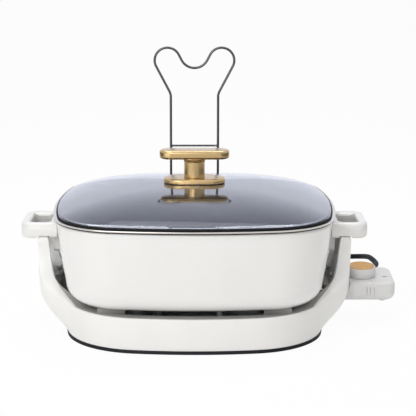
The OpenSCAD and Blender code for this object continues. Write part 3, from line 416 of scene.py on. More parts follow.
def loft(rings, joined=False):
    """Points and faces of a skin over a stack of rings, capped unless joined end to end."""
    n, m = len(rings[0]), len(rings)
    faces = []
    for r in range(m if joined else m - 1):
        q = (r + 1) % m
        faces += [(r * n + i, r * n + (i + 1) % n, q * n + (i + 1) % n, q * n + i) for i in range(n)]
    if not joined:
        faces += [tuple(range(n - 1, -1, -1)), tuple((m - 1) * n + i for i in range(n))]
    return [p for ring in rings for p in ring], faces


def lathe(profile, steps=64):
    """Rings of a turned shape from pairs of radius and height."""
    turn = [2 * math.pi * i / steps for i in range(steps)]
    return [[(r * math.cos(a), r * math.sin(a), z) for a in turn] for r, z in profile]


def lying(rings, x, y, z):
    """Turned rings laid down, with their axis along y."""
    return [[(x + a, y + c, z - b) for a, b, c in ring] for ring in rings]


def stadium(size, deep, inset, z, steps=20):
    """A level ring with straight sides and half-round ends."""
    r, middle = deep / 2 - inset, (size - deep) / 2
    right = [(middle + r * c, r * s, z) for c, s in quarter(-90, 90, steps)]
    left = [(-middle + r * c, r * s, z) for c, s in quarter(90, 270, steps)]
    return right + left


def rounded(x0, x1, y0, y1, near, far, steps=8):
    """A rectangle with its corners as arcs: near is the radius at x0, far that at x1."""
    found = []
    for x, y, r, a in ((x1, y0, far, -90), (x1, y1, far, 0), (x0, y1, near, 90), (x0, y0, near, 180)):
        cx = x - r if x == x1 else x + r
        cy = y + r if y == y0 else y - r
        found += [(cx + r * c, cy + r * s) for c, s in quarter(a, a + 90, steps)]
    return found


def tube(path, radius, sides=16):
    """Rings along a path, carried without twist."""
    points = [Vector(p) for p in path]
    rings, side = [], None
    for i, p in enumerate(points):
        way = (points[min(i + 1, len(points) - 1)] - points[max(i - 1, 0)]).normalized()
        if side is None:
            side = way.orthogonal().normalized()
        side = (side - way * side.dot(way)).normalized()
        up = way.cross(side)
        turn = (2 * math.pi * k / sides for k in range(sides))
        rings.append([tuple(p + radius * (math.cos(a) * side + math.sin(a) * up)) for a in turn])
    return rings


def smooth_path(points, steps=8):
    """A curve through all the points."""
    p = [Vector(points[0])] + [Vector(q) for q in points] + [Vector(points[-1])]
    found = []
    for i in range(1, len(p) - 2):
        a, b, c, d = p[i - 1], p[i], p[i + 1], p[i + 2]
        for k in range(steps):
            t = k / steps
            found.append(0.5 * (2 * b + (c - a) * t + (2 * a - 5 * b + 4 * c - d) * t * t
                                + (3 * b - a - 3 * c + d) * t ** 3))
    return found + [p[-1]]


def place(name, data):
    """A new object in the scene."""
    piece = bpy.data.objects.new(name, data)
    bpy.context.scene.collection.objects.link(piece)
    return piece


def solid(name, rings, joined=False):
    """A new object from a stack of rings."""
    points, faces = loft(rings, joined)
    mesh = bpy.data.meshes.new(name)
    mesh.from_pydata(points, [], faces)
    work = bmesh.new()
    work.from_mesh(mesh)
    bmesh.ops.recalc_face_normals(work, faces=work.faces)
    work.to_mesh(mesh)
    work.free()
    return place(name, mesh)


def block(name, low, high):
    """A box used as a cutting tool."""
    ring = [(low[0], low[1]), (high[0], low[1]), (high[0], high[1]), (low[0], high[1])]
    return solid(name, [[(x, y, z) for x, y in ring] for z in (low[2], high[2])])


def combine(piece, tools, operation):
    """Cuts the tools out of a piece, or joins them to it, and removes the tools."""
    for tool in tools:
        step = piece.modifiers.new("combine", "BOOLEAN")
        step.object, step.operation, step.solver = tool, operation, "EXACT"
        ready = piece.evaluated_get(bpy.context.evaluated_depsgraph_get())
        mesh = bpy.data.meshes.new_from_object(ready)
        piece.modifiers.clear()
        old, piece.data = piece.data, mesh
        bpy.data.meshes.remove(old)
        spent = tool.data
        bpy.data.objects.remove(tool)
        bpy.data.meshes.remove(spent)
    return piece


def dress(piece, body, slot, finishes, nodes=(), sharp=38.0):
    """Gives a piece its finishes and smooth shading, puts it on its body and hides the solids that it stands
    for.
    """
    for name in finishes:
        piece.data.materials.append(finish(name))
    piece.data.shade_smooth()
    piece.data.set_sharp_from_angle(angle=math.radians(sharp))
    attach(piece, body)
    if nodes:
        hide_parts(*nodes)
    return piece


# Camera


class SKILLET_OT_camera(bpy.types.Operator):
    """Places the camera in front of the skillet"""

    bl_idname = "skillet.camera"
    bl_label = "Camera"

    def execute(self, context):
        studio = context.scene.skillet_studio
        data = bpy.data.cameras.new("camera")
        data.sensor_width, data.lens, data.shift_x = 36.0, studio.lens, studio.shift
        camera = place("camera", data)
        camera.location = (0.0, -studio.back, studio.high)
        camera.rotation_euler = (RIGHT_ANGLE - studio.down, 0.0, 0.0)
        context.scene.camera = camera
        return {"FINISHED"}


# Cord

LEAD = (
    (0.2048, 0.0590, 0.0380), (0.2048, 0.0660, 0.0380), (0.2080, 0.0800, 0.0372), (0.2130, 0.0980, 0.0346),
    (0.2185, 0.1160, 0.0316), (0.2216, 0.1340, 0.0298), (0.2214, 0.1520, 0.0287), (0.2206, 0.1680, 0.0274),
    (0.2196, 0.1840, 0.0256), (0.2177, 0.2000, 0.0226), (0.2132, 0.2160, 0.0190), (0.2011, 0.2350, 0.0143),
    (0.1860, 0.2490, 0.0105), (0.1680, 0.2585, 0.0075), (0.1480, 0.2630, 0.0054), (0.1300, 0.2640, 0.0045),
    (0.1160, 0.2634, 0.0042), (0.1065, 0.2631, 0.0042), (0.1000, 0.2631, 0.0042),
)
COIL_X, COIL_Y, COIL_Z = 0.100, 0.222, 0.0042
PLUG_X, PLUG_LEN = 0.062, 0.034


def plug_axis(cord):
    """Depth and height of the cord's last stretch and of the plug."""
    return COIL_Y + cord.coil + cord.step / 2, COIL_Z + cord.step


def coil_points(cord, rings=24):
    """The put-away turns, one over the other, after the lead."""
    turn = 360.0 * cord.loops
    found = []
    for i in range(1, rings * cord.loops):
        a = 360.0 * i / rings
        r = cord.coil + cord.step * cord.loops / 2 * (abs(2 * a / turn - 1) - 0.5)
        z = COIL_Z + cord.step * ease((a - turn / 2 + 90) / 180)
        c, s = math.cos(math.radians(90 + a)), math.sin(math.radians(90 + a))
        found.append((COIL_X + r * c, COIL_Y + r * s, z))
    y, z = plug_axis(cord)
    return found + [(COIL_X, y, z), (COIL_X - cord.thick, y, z), (PLUG_X, y, z)]


class SKILLET_OT_cord(bpy.types.Operator):
    """Makes the cord with its strain relief, coil, tie and plug"""

    bl_idname = "skillet.cord"
    bl_label = "Cord"

    def execute(self, context):
        cord = context.scene.skillet_cord
        path = smooth_path(list(LEAD) + coil_points(cord))
        data = bpy.data.curves.new("mains_cord", "CURVE")
        data.dimensions = "3D"
        data.bevel_depth, data.bevel_resolution = cord.thick / 2, 5
        data.use_fill_caps = True
        line = data.splines.new("POLY")
        line.points.add(len(path) - 1)
        for spot, p in zip(line.points, path):
            spot.co = (*p, 1.0)
        lead = place("mains_cord", data)
        data.materials.append(finish("cord_sheath"))
        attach(lead, "control")
        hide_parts("cord_lead", "cord_coil")
        plug = self.plug(cord)
        blades = self.blades(cord)
        tie = self.tie(cord)
        relief = self.relief(cord, context.scene.skillet_control)
        total = sum((b - a).length for a, b in zip(path, path[1:]))
        return {"FINISHED"}

    def relief(self, cord, control):
        """A tapered sleeve with a collar and grip rings."""
        core, end = cord.thick / 2, control.relief
        bore, root, tip = core + 0.0012, core + 0.0024, core + 0.0007
        collar, groove, first, pitch = root + 0.0010, 0.0009, 0.0040, 0.0034
        profile = [(bore, -control.wall), (bore, 0.0), (root + 0.0008, 0.0),
                   (collar, 0.0006), (collar, 0.0024), (root, 0.0030)]
        for i in range(7):
            y = first + pitch * i
            r = root + (tip - root) * y / end
            profile += [(r, y), (r - groove, y + 0.0006), (r - groove, y + 0.0016), (r - 0.0001, y + 0.0022)]
        profile += [(tip, end - 0.0006), (tip - 0.0004, end), (core - 0.0004, end)]
        x, _, z = LEAD[0]
        sleeve = solid("strain_relief_sleeve", lying(lathe(profile, 40), x, control.half, z))
        return dress(sleeve, "control", "cord_black", ["black_rubber"], ["strain_relief"], 30)

    def plug(self, cord):
        """A moulded plug with a ribbed tail and finger hollows."""
        y, z = plug_axis(cord)
        rib = 0.0008
        tail = [(0.0, 0.0040), (0.0008, 0.0046)]
        for i in range(4):
            d, r = 0.0015 + 0.0026 * i, 0.0046 + 0.0004 * i
            tail += [(d, r), (d + 0.0004, r + rib), (d + 0.0014, r + rib), (d + 0.0018, r)]
        # Distance from the tail's end, half width, half height, and roundness of the corners
        sections = [(d, r, r, 1.0) for d, r in tail]
        sections += [(0.0122, 0.0072, 0.0070, 0.90), (0.0134, 0.0100, 0.0092, 0.70),
                     (0.0150, 0.0120, 0.0107, 0.55), (0.0175, 0.0128, 0.0113, 0.45),
                     (0.0205, 0.0122, 0.0113, 0.42), (0.0235, 0.0116, 0.0113, 0.40),
                     (0.0265, 0.0122, 0.0113, 0.40), (0.0295, 0.0129, 0.0114, 0.40),
                     (0.0328, 0.0130, 0.0114, 0.40), (0.0337, 0.0126, 0.0110, 0.40),
                     (PLUG_LEN, 0.0118, 0.0102, 0.40)]
        rings = []
        for d, wide, tall, share in sections:
            tall = min(tall, z)
            r = min(wide, tall) * share
            rings.append([(PLUG_X - d, y + a, z + b) for a, b in rounded(-wide, wide, -tall, tall, r, r, 7)])
        return dress(solid("mains_plug", rings), "control", "cord_black", ["black_rubber"], ["plug_body"], 30)

    def blades(self, cord):
        """Two flat blades with round noses and a hole each."""
        y, z = plug_axis(cord)
        x = PLUG_X - PLUG_LEN
        reach, root, aside, wide, thick = 0.0170, 0.0010, 0.00635, 0.00315, 0.00075
        nose, heel, hole_back, hole_r, past = 0.0022, 0.0002, 0.0125, 0.0016, 0.003
        parts = []
        for side in (-1, 1):
            middle = y + side * aside
            loop = rounded(x - reach, x + root, z - wide, z + wide, nose, heel, 6)
            blade = solid("blade", [[(a, middle + d, b) for a, b in loop] for d in (-thick, thick)])
            drill = [[(x - hole_back + a, middle + c, z + b) for a, b, c in ring]
                     for ring in lathe([(hole_r, -past), (hole_r, past)], 24)]
            parts.append(combine(blade, [solid("hole", drill)], "DIFFERENCE"))
        blades = combine(parts[0], parts[1:], "UNION")
        blades.name = blades.data.name = "mains_plug_blades"
        return dress(blades, "control", "brass_parts", ["plug_brass"], ["plug_blades"], 30)

    def tie(self, cord):
        """A thin strap round both turns."""
        y, low, high = COIL_Y - cord.coil, COIL_Z, COIL_Z + cord.step
        half, reach = cord.thick / 2 + 0.0006, cord.thick / 2 + 0.0004
        corner, thin = 0.003, 0.0001

        def loop(x, grow):
            r = corner + grow
            return [(COIL_X + x, a, b) for a, b in rounded(
                y - half - grow, y + half + grow, low - reach - grow, high + reach + grow, r, r, 7)]

        outside = ((-0.0040, 0.0), (-0.0037, 0.0005), (0.0037, 0.0005), (0.0040, 0.0))
        rings = [loop(x, grow) for x, grow in outside]
        rings += [loop(x, -thin) for x in (0.0039, -0.0039)]
        strap = solid("coil_tie", rings, True)
        return dress(strap, "control", "tie_plastic", ["tie_plastic"], ["cord_tie"], 40)


# Base


class BaseShape:
    """The shell's outline and the faces of its arms, as the solid has them."""

    def __init__(self, base):
        self.b = base
        self.outline = Outline(base.half, base.corner, base.bow)
        self.flare = 0.1
        rise = base.arm_top - base.rim + base.lip_h
        self.inward = base.arm_out + base.arm_lean + base.lip_t - base.arm_deep - self.flare * rise

    def edge(self, t):
        """Half an arm's depth at share t of its height."""
        b = self.b
        return b.arm_half + b.taper * (1 - t) + (b.spread - b.taper) * (1 - t) ** 4

    def height(self, t):
        """Height at share t of an arm."""
        return self.b.rim + (self.b.arm_top - self.b.rim) * t

    def share(self, y):
        """How much of an arm's swelling there is at depth y."""
        return ease((self.b.arm_half + self.b.blend - y) / self.b.fade)

    def outer(self, z):
        """How far an arm's outer face stands out at height z."""
        b, h = self.b, z - self.b.foot
        slant, steep = b.slant * h, b.arm_out + b.arm_lean * h / (b.arm_top - b.foot)
        mix = max(0.0, 1 - abs(slant - steep) / b.bend)
        return min(slant, steep) - b.bend * mix * mix / 4

    def inner(self, z):
        """How far an arm's inner face stands out at height z."""
        up, curve = z - self.b.rim + self.b.lip_h, 0.012
        return 0.0 if up <= 0 else self.inward * (1 - math.exp(-up / curve)) + self.flare * up

    def hollow(self, y):
        """Where the inner edge of the turned lip ends, at depth y."""
        want = y + self.b.lip_h
        if want <= self.edge(1.0):
            return self.b.arm_top - self.b.lip_h
        if want >= self.edge(0.0):
            return self.b.rim - self.b.lip_h
        return self.height(last_true(lambda t: self.edge(t) > want)) - self.b.lip_h

    def stations(self):
        """Facing angle, top, hollow and arm share, all the way round."""
        b, r = self.b, 0.004
        spots = [(y, b.arm_top) for y in span(0.0, b.arm_half - r, 8)[:-1]]
        spots += [(b.arm_half - r + (r + 0.0004) * s, b.arm_top - r + r * c) for c, s in quarter(0, 90, 6)]
        start = 1 - r / (b.arm_top - b.rim)
        shares = [start * (1 - u ** 0.8) for u in span(0.04, 1.0, 26)]
        spots += [(self.edge(t), self.height(t)) for t in shares]
        turn = [(self.outline.facing(y), z, self.hollow(y), self.share(y)) for y, z in spots]
        first, last = turn[-1][0], RIGHT_ANGLE
        corner_end = last - self.outline.swing
        rest = span(first, corner_end, 12)[1:] + span(corner_end, last, 8)[1:]
        turn += [(a, b.rim, b.rim - b.lip_h, self.share(self.outline.point(a)[1])) for a in rest]
        half = turn + [(math.pi - a, *k) for a, *k in turn[-2::-1]]
        return half + [(2 * math.pi - a, *k) for a, *k in half[-2:0:-1]]


class SKILLET_OT_base(bpy.types.Operator):
    """Makes the cradle shell, the foot ring, the grey ledges of painted shade, and the inner covers of the
    arms with painted light and shade
    """

    bl_idname = "skillet.base"
    bl_label = "Base"

    def execute(self, context):
        base = context.scene.skillet_base
        shape = BaseShape(base)
        self.shell(base, shape)
        self.foot(base, shape)
        for side, name in ((-1, "front_ledge"), (1, "rear_ledge")):
            self.ledge(base, shape, side, name)
        for side, name in ((-1, "left_arm_cover"), (1, "right_arm_cover")):
            self.cover(base, shape, side, name)
        return {"FINISHED"}

    def shell(self, base, shape):
        """The shell with its arms and its turned lip, and the opening for the control's nose."""
        edge, largest, gather = 0.0012, 0.0045, 1.6

        def section(top, hollow, share):
            """Reach and height round the wall, from the foot up, over the lip and down again."""
            thick = base.lip_t + share * (shape.outer(top) - shape.inner(top))
            r = min(largest, 0.42 * thick)
            levels = [base.foot + (top - r - base.foot) * k ** gather for k in span(0, 1, 16)]
            found = [(share * shape.outer(z), z) for z in levels]
            crest = share * shape.outer(top - r)
            found += [(crest - r * (1 - c), top - r + r * s) for c, s in quarter(0, 90, 6)[1:]]
            lip = share * shape.inner(top) - base.lip_t
            found += [(lip + edge * (1 - c), top - edge + edge * s) for c, s in quarter(90, 0, 4)]
            levels = [top - edge + (hollow - top + edge) * k for k in span(0, 1, 5)[1:]]
            found += [(share * shape.inner(z) - base.lip_t, z) for z in levels]
            levels = [base.foot + (hollow - base.foot) * (1 - k) ** gather for k in span(0, 1, 10)]
            return found + [(share * shape.outer(z) - base.wall, z) for z in levels]

        columns = []
        for facing, *station in shape.stations():
            columns.append([(*shape.outline.point(facing, out), z) for out, z in section(*station)])
        piece = solid("cradle", list(zip(*columns)), True)
        low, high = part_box("contact_block")
        room = Vector((0.004, 0.0015, 0.0015))
        piece = combine(piece, [block("inlet", low - room, high + room)], "DIFFERENCE")
        dress(piece, "base", "white_shell", ["moulded_white"], ["cradle_shell"], 32)

    def foot(self, base, shape):
        """A black ring under the shell that wraps a little way up it."""
        wide, high, wrap, edge = base.foot_w, base.foot, 0.0037, 0.0010
        profile = [(0.0008, 0.0), (0.0011, 0.0002), (0.0013, 0.0006), (0.0006, wrap - 0.0003), (0.0003, wrap),
                   (0.0001, wrap), (0.0001, high), (-wide, high), (-wide, edge), (-wide + edge, 0.0)]
        angles = shape.outline.angles()
        rings = [shape.outline.ring(angles, grow, z) for grow, z in profile]
        dress(solid("foot_band", rings, True), "base", "black_rubber", ["black_rubber"], ["foot_ring"], 30)

    def ledge(self, base, shape, side, name):
        """A grey strip behind the rim, painted shade for the shade under the pan, which fades out on the feet
        of the arms.
        """
        reach, drop, thick, edge, bite, end_share = 0.0135, 0.0004, 0.0030, 0.0008, 0.0010, 0.96
        rows = []
        for facing, top, _, share in shape.stations():
            if side * math.sin(facing) <= 0 or share > end_share:
                continue
            out = share * shape.inner(top) - base.lip_t
            end, z = out - reach * (1 - share), top - drop
            profile = [(out + bite, z), (end + edge, z), (end, z - edge), (end, z - thick + edge),
                       (end + edge, z - thick), (out + bite, z - thick)]
            rows.append([(*shape.outline.point(facing, grow), level) for grow, level in profile])
        dress(solid(name, rows), "base", "grey_silicone", ["ledge_grey"], (), 40)

    def cover(self, base, shape, side, name):
        """The curved inner cover of an arm, one cross-section for each height."""
        edge, back, spare, most, gap = 0.0006, 0.0022, 0.0006, 0.045, 0.0014
        low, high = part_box(name)
        start = base.arm_half - base.lip_h
        columns = span(-1, 1, 16)
        rings = []
        for z in span(low.z, high.z, 18):
            half = start + most * last_true(lambda k: shape.hollow(start + most * k) > z + spare) - gap
            front = edge if z in (low.z, high.z) else 0.0
            loop = [(-half, edge)] + [(k * (half - edge), front) for k in columns] + [(half, edge)]
            loop += [(-k * half, back) for k in columns]
            ring = []
            for y, deep in loop:
                x = shape.outline.point(shape.outline.facing(abs(y)))[0] + shape.inner(z) - base.lip_t + deep
                ring.append((side * x, y, z))
            rings.append(ring)
        # The left cover gets the lighter, glossier copy and the right one the duller copy: painted light and
        # shade.
        gloss = "cover_gloss" if side < 0 else "cover_matt"
        dress(solid("inner_" + name, rings), "base", "white_shell", [gloss], [name], 32)


# Pan


def pan_grow(pan, lid, z):
    """How far the pan's outside stands from the lid's outline, at height z."""
    return -lid.over - pan.draft * ((pan.rim - z) / (pan.rim - pan.bottom)) ** 1.6


def follow(pan, start, root, x, y):
    """Bends the root of a handle, from start on, to the bowed wall of the pan."""
    share = max(0.0, min(1.0, 1 - (x - start) / root))
    return x - share * y * y / (2 * pan.bow)


class SKILLET_OT_pan(bpy.types.Operator):
    """Makes the pan and its two handles"""

    bl_idname = "skillet.pan"
    bl_label = "Pan"

    def execute(self, context):
        scene = context.scene
        pan, lid, handles = scene.skillet_pan, scene.skillet_lid, scene.skillet_handles
        self.pan(pan, lid)
        for side, name in ((-1, "left_handle"), (1, "right_handle")):
            self.handle(pan, lid, handles, side, name)
        return {"FINISHED"}

    def pan(self, pan, lid):
        """The pan with a step under its rim and a dark coating inside."""
        outline = Outline(pan.half + lid.over, pan.corner, pan.bow)
        angles = outline.angles()
        r, half = pan.fillet, pan.wall / 2
        turn, shoulder = pan.bottom + r, pan.rim - half
        step, proud = pan.rim - 0.0042, 0.0005

        def grow(z):
            return pan_grow(pan, lid, z)

        outer = [(grow(turn) - r * (1 - s), turn - r * c) for c, s in quarter(0, 90, 10)[:-1]]
        outer += [(grow(z), z) for z in span(turn, step - proud, 12)]
        outer += [(grow(step) + proud * (1 - c), step - proud * (1 - s)) for c, s in quarter(0, 90, 3)[1:]]
        outer += [(grow(shoulder) + proud, shoulder)]
        crest = grow(shoulder) - half
        for c, s in quarter(0, 150, 6)[1:]:
            reach = half + proud if c > 0 else half
            outer.append((crest + reach * c, shoulder + half * s))
        floor, inner_r, sunk = pan.bottom + pan.floor, r - pan.wall + 0.0002, 0.0001
        turn = floor + inner_r
        inner = [(crest - half, shoulder)]
        inner += [(grow(z) - pan.wall, z) for z in span(pan.rim - 2 * half, turn, 10)]
        wall = grow(turn) - pan.wall
        inner += [(wall - inner_r * (1 - s), turn - inner_r * c) for c, s in quarter(90, 0, 9)[1:]]
        inner += [(inner[-1][0] - inwards, floor - sunk) for inwards in (0.012, 0.040)]
        piece = solid("cooking_pan", [outline.ring(angles, out, z) for out, z in outer + inner])
        dress(piece, "pan", "white_enamel", ["enamel_white", "pan_coating"], ["pan_body"], 32)
        sides = (len(outer) - 1) * len(angles)
        last = len(piece.data.polygons) - 1
        for face in piece.data.polygons:
            face.material_index = 1 if sides <= face.index < last - 1 or face.index == last else 0

    def handle(self, pan, lid, handles, side, name):
        """A loop handle with its wall tab, the cut that lets it sit on an arm, and painted shade in its
        finger slot.
        """
        low, top = handles.low, handles.low + handles.high
        far, half, root = handles.reach, handles.half, handles.root
        near = pan.half + lid.over + pan_grow(pan, lid, top) + 0.0004
        round_out, round_top, round_low = 0.0066, 0.0075, 0.0060

        def loop(c, z):
            inset = round_out * (1 - c)
            plan = rounded(near + 0.1 * inset, far - 0.2 * inset, -half + inset, half - 0.4 * inset,
                           0.0012, 0.014 - 0.4 * inset, 9)
            return [(follow(pan, near, root, x, y), y, z) for x, y in plan]

        def slot(c, z):
            grow = round_out * (1 - c)
            r, y = 0.006 + 0.5 * grow, half - handles.side + grow
            plan = rounded(near + root - 0.5 * grow, far - handles.bar + 0.5 * grow, -y, y, r, r, 9)
            return [(x, y, z) for x, y in plan]

        rings = [loop(c, low + round_low * (1 + t)) for c, t in quarter(-90, 0, 8)]
        rings += [loop(c, top - round_top * (1 - t)) for c, t in quarter(0, 90, 8)]
        rings += [slot(c, top - round_top * (1 - t)) for c, t in quarter(90, 0, 8)]
        rings += [slot(c, low + round_low * (1 + t)) for c, t in quarter(0, -90, 8)]
        piece = solid("handle", rings, True)
        piece = combine(piece, [self.tab(pan, lid, near, root, low)], "UNION")
        piece = combine(piece, [self.seat(low)], "DIFFERENCE")
        if side < 0:
            for v in piece.data.vertices:
                v.co.x = -v.co.x
            piece.data.flip_normals()
        piece.name = piece.data.name = "loop_" + name
        dress(piece, "pan", "white_handle", ["handle_white", "grip_grey"], [name], 34)
        # The finger slot's inner faces take the darker grey: painted shade for the shade inside the slot.
        spare = 0.001
        start, stop, deep = near + root - spare, far - handles.bar + spare, half - handles.side + spare
        for face in piece.data.polygons:
            x, y, _ = face.center
            face.material_index = 1 if start < abs(x) < stop and abs(y) < deep else 0

    def tab(self, pan, lid, near, root, low):
        """The plate under a handle that lies on the pan's wall."""
        half, drop, corner, thick, edge = 0.024, 0.016, 0.004, 0.004, 0.0006
        face = near + thick
        back = []
        for y, z in rounded(-half, half, low - drop, low + corner, corner, corner, 6):
            wall = pan.half + lid.over + pan_grow(pan, lid, z) + 0.0006
            back.append((follow(pan, near, root, wall, y), y, z))
        front = [(face, y * 0.98, z + (0.0005 if z < low else 0.0)) for _, y, z in back]
        return solid("tab", [back, [(face - edge, y, z) for _, y, z in back], front])

    def seat(self, low):
        """The cut under a handle, rounded as the arm's top is."""
        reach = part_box("cradle_shell")[1].x
        near, far, top, r = reach - 0.0141, reach + 0.0004, low + 0.0035, 0.0045
        past, half = low - 0.002, 0.040
        shoe = [(near, top), (near, past), (far, past)]
        shoe += [(far - r * (1 - c), top - r * (1 - s)) for c, s in quarter(0, 90, 6)]
        return solid("seat", [[(x, y, z) for x, z in shoe] for y in (-half, half)])


# Lid


class SKILLET_OT_lid(bpy.types.Operator):
    """Makes the lid's glass and band, black rings of painted shadow and painted reflection, and the knob on
    its flange
    """

    bl_idname = "skillet.lid"
    bl_label = "Lid"

    def execute(self, context):
        pan, lid = context.scene.skillet_pan, context.scene.skillet_lid
        outline = Outline(pan.half + lid.over, pan.corner, pan.bow)
        angles = outline.angles(12, 26)
        self.glass(lid, outline, angles)
        self.band(lid, outline, angles)
        self.knob(lid)
        return {"FINISHED"}

    def glass(self, lid, outline, angles):
        """The dome, with a hole for the knob's screw."""
        inset, r, thick = 0.0032, 0.0008, lid.glass
        edge = outline.ring(angles, -inset, 0.0)
        low = lid.low + lid.sheet + 0.0002

        def level(k, base):
            z = base + lid.rise * max(0.0, 1 - k ** 2.6) ** 0.9
            return [(x * k, y * k, z) for x, y, _ in edge]

        hole = 0.0042 / outline.half
        shares = [hole, 0.06, 0.12, 0.2, 0.3, 0.4, 0.5, 0.58, 0.66, 0.73, 0.79, 0.84, 0.88, 0.91, 0.935,
                  0.955, 0.97, 0.982, 0.991]
        rings = [level(k, low) for k in shares]
        for middle, start, stop, steps in ((low + r, -80, 0, 3), (low + thick - r, 0, 62, 4)):
            rings += [outline.ring(angles, -inset - r * (1 - c), middle + r * s)
                      for c, s in quarter(start, stop, steps)]
        rings += [level(k, low + thick) for k in reversed(shares[:-1])]
        dress(solid("lid_dome", rings, True), "lid", "lid_glass", ["lid_glass"], ["lid_glass"], 50)

    def band(self, lid, outline, angles):
        """The steel band, a black ring under it as painted shadow and a black bead round the glass as painted
        reflection.
        """
        # Millimetres out from the outline and up from the band's lower edge
        steel = [(-2.6, 0.9), (0.8, 0.9), (1.2, 1.1), (1.3, 1.4), (1.3, 1.9), (1.0, 2.4), (0.3, 2.65),
                 (-2.6, 2.7)]
        # A black ring under the band: painted shadow for the dark line between the band and the pan.
        under = [(-6.2, 0.0), (0.4, 0.0), (0.7, 0.15), (0.8, 0.35), (0.8, 0.85), (-2.65, 0.85), (-2.65, 1.2),
                 (-6.2, 1.2)]
        # A black bead round the glass: painted reflection for the dark line that the band's polished edge
        # reflects.
        bead = [(-3.1, 1.3), (-2.65, 1.3), (-2.65, 2.75), (-1.7, 2.75), (-1.7, 3.0), (-1.75, 3.7),
                (-1.9, 4.35), (-2.2, 4.75), (-3.1, 5.2)]

        def ring(name, profile, slot, look, nodes, sharp):
            rings = [outline.ring(angles, grow / 1000, lid.low + z / 1000) for grow, z in profile]
            dress(solid(name, rings, True), "lid", slot, [look], nodes, sharp)

        ring("lid_band", steel, "rim_steel", "band_steel", ["lid_rim"], 30)
        ring("lid_seat_seal", under, "black_rubber", "seal_black", (), 35)
        ring("lid_edge_seal", bead, "black_rubber", "seal_black", (), 50)

    def knob(self, lid):
        """The oval flange with a skirt over the gasket, and the knob's bar and stem."""
        r, turn, edge = 0.0026, 0.004, 0.0004
        low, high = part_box("knob_flange")
        gasket_low, gasket_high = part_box("knob_gasket")
        seat = low.z - gasket_high.z + gasket_low.z
        sizes = (lid.flange_len, lid.flange_deep)
        skirt = ((0.0027, low.z), (0.0023, seat), (0.0006, seat), (0.0, seat + 0.0007))
        rings = [stadium(*sizes, inset, z) for inset, z in skirt]
        rings += [stadium(*sizes, r * (1 - c), high.z - r + r * s) for c, s in quarter(0, 90, 7)]
        dress(solid("gold_flange", rings), "lid", "satin_gold", ["satin_gold"], ["knob_flange"], 32)
        low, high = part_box("knob")
        under = high.z - lid.bar_t
        sizes = (lid.bar_len, lid.bar_deep)
        rings = [stadium(*sizes, r * (1 - c), under + r + r * s) for c, s in quarter(-90, 0, 7)]
        rings += [stadium(*sizes, r * (1 - c), high.z - r + r * s) for c, s in quarter(0, 90, 7)]
        piece = solid("gold_knob", rings)
        stem = lid.stem / 2
        profile = [(stem - edge, low.z), (stem, low.z + edge), (stem, under - turn)]
        profile += [(stem + turn * (1 - c), under - turn + turn * s) for c, s in quarter(0, 75, 7)[1:]]
        profile += [(profile[-1][0], under + 0.0006)]
        piece = combine(piece, [solid("stem", lathe(profile, 72))], "UNION")
        dress(piece, "lid", "satin_gold", ["satin_gold"], ["knob"], 32)


# Lid holder


class SKILLET_OT_holder(bpy.types.Operator):
    """Makes the bent wire of the lid holder and its cross bar"""

    bl_idname = "skillet.holder"
    bl_label = "Lid holder"

    def execute(self, context):
        holder = context.scene.skillet_holder
        low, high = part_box("lid_holder_wire")
        y = (low.y + high.y) / 2
        self.wire(holder, y, low.z)
        self.cross_bar(holder, y)
        return {"FINISHED"}

    def wire(self, h, y, low):
        """One wire: up a leg, round a horn, through the dip, and down the other side."""
        c, s = math.sin(h.lean), math.cos(h.lean)
        dip = h.dip + h.dip_r
        horn_x = h.dip_r * s + h.run * c + h.horn_r * s
        horn_z = dip - h.dip_r * c + h.run * s - h.horn_r * c
        bend_x, bend_z = h.leg, horn_z - h.horn_r * c - (horn_x + h.horn_r * s - h.leg) * s / c
        lean = math.degrees(h.lean)
        half = [(h.dip_r * a, dip + h.dip_r * b) for a, b in quarter(-90, -lean, 14)]
        half += [(horn_x + h.horn_r * a, horn_z + h.horn_r * b) for a, b in quarter(180 - lean, -lean, 36)]
        half += [(bend_x + d * c, bend_z + d * s) for d in (0.006, 0.0035)]
        half += [(bend_x + 0.0008, bend_z + 0.0010), (bend_x + 0.0001, bend_z - 0.0014)]
        half += [(h.leg, z) for z in span(bend_z - 0.004, low, 24)]
        path = [(-x, y, z) for x, z in reversed(half[1:])] + [(x, y, z) for x, z in half]
        piece = solid("holder_wire", tube(path, h.wire / 2, 18))
        dress(piece, "lid_holder", "chrome_wire", ["chrome_wire"], ["lid_holder_wire"], 40)

    def cross_bar(self, h, y):
        """The bar between the legs, thicker where it is welded to them."""
        r, reach = h.cross_d / 2, h.leg - h.wire / 2
        profile = [(r * 1.3, -reach - 0.0004), (r * 1.25, -reach + 0.0006), (r, -reach + 0.0018)]
        profile += [(r, d) for d in span(-reach + 0.004, reach - 0.004, 12)]
        profile += [(r, reach - 0.0018), (r * 1.25, reach - 0.0006), (r * 1.3, reach + 0.0004)]
        rings = [[(c, y + a, h.cross + b) for a, b, c in ring] for ring in lathe(profile, 18)]
        piece = solid("holder_cross_bar", rings)
        dress(piece, "lid_holder", "chrome_wire", ["chrome_wire"], ["lid_holder_crossbar"], 40)


# Control


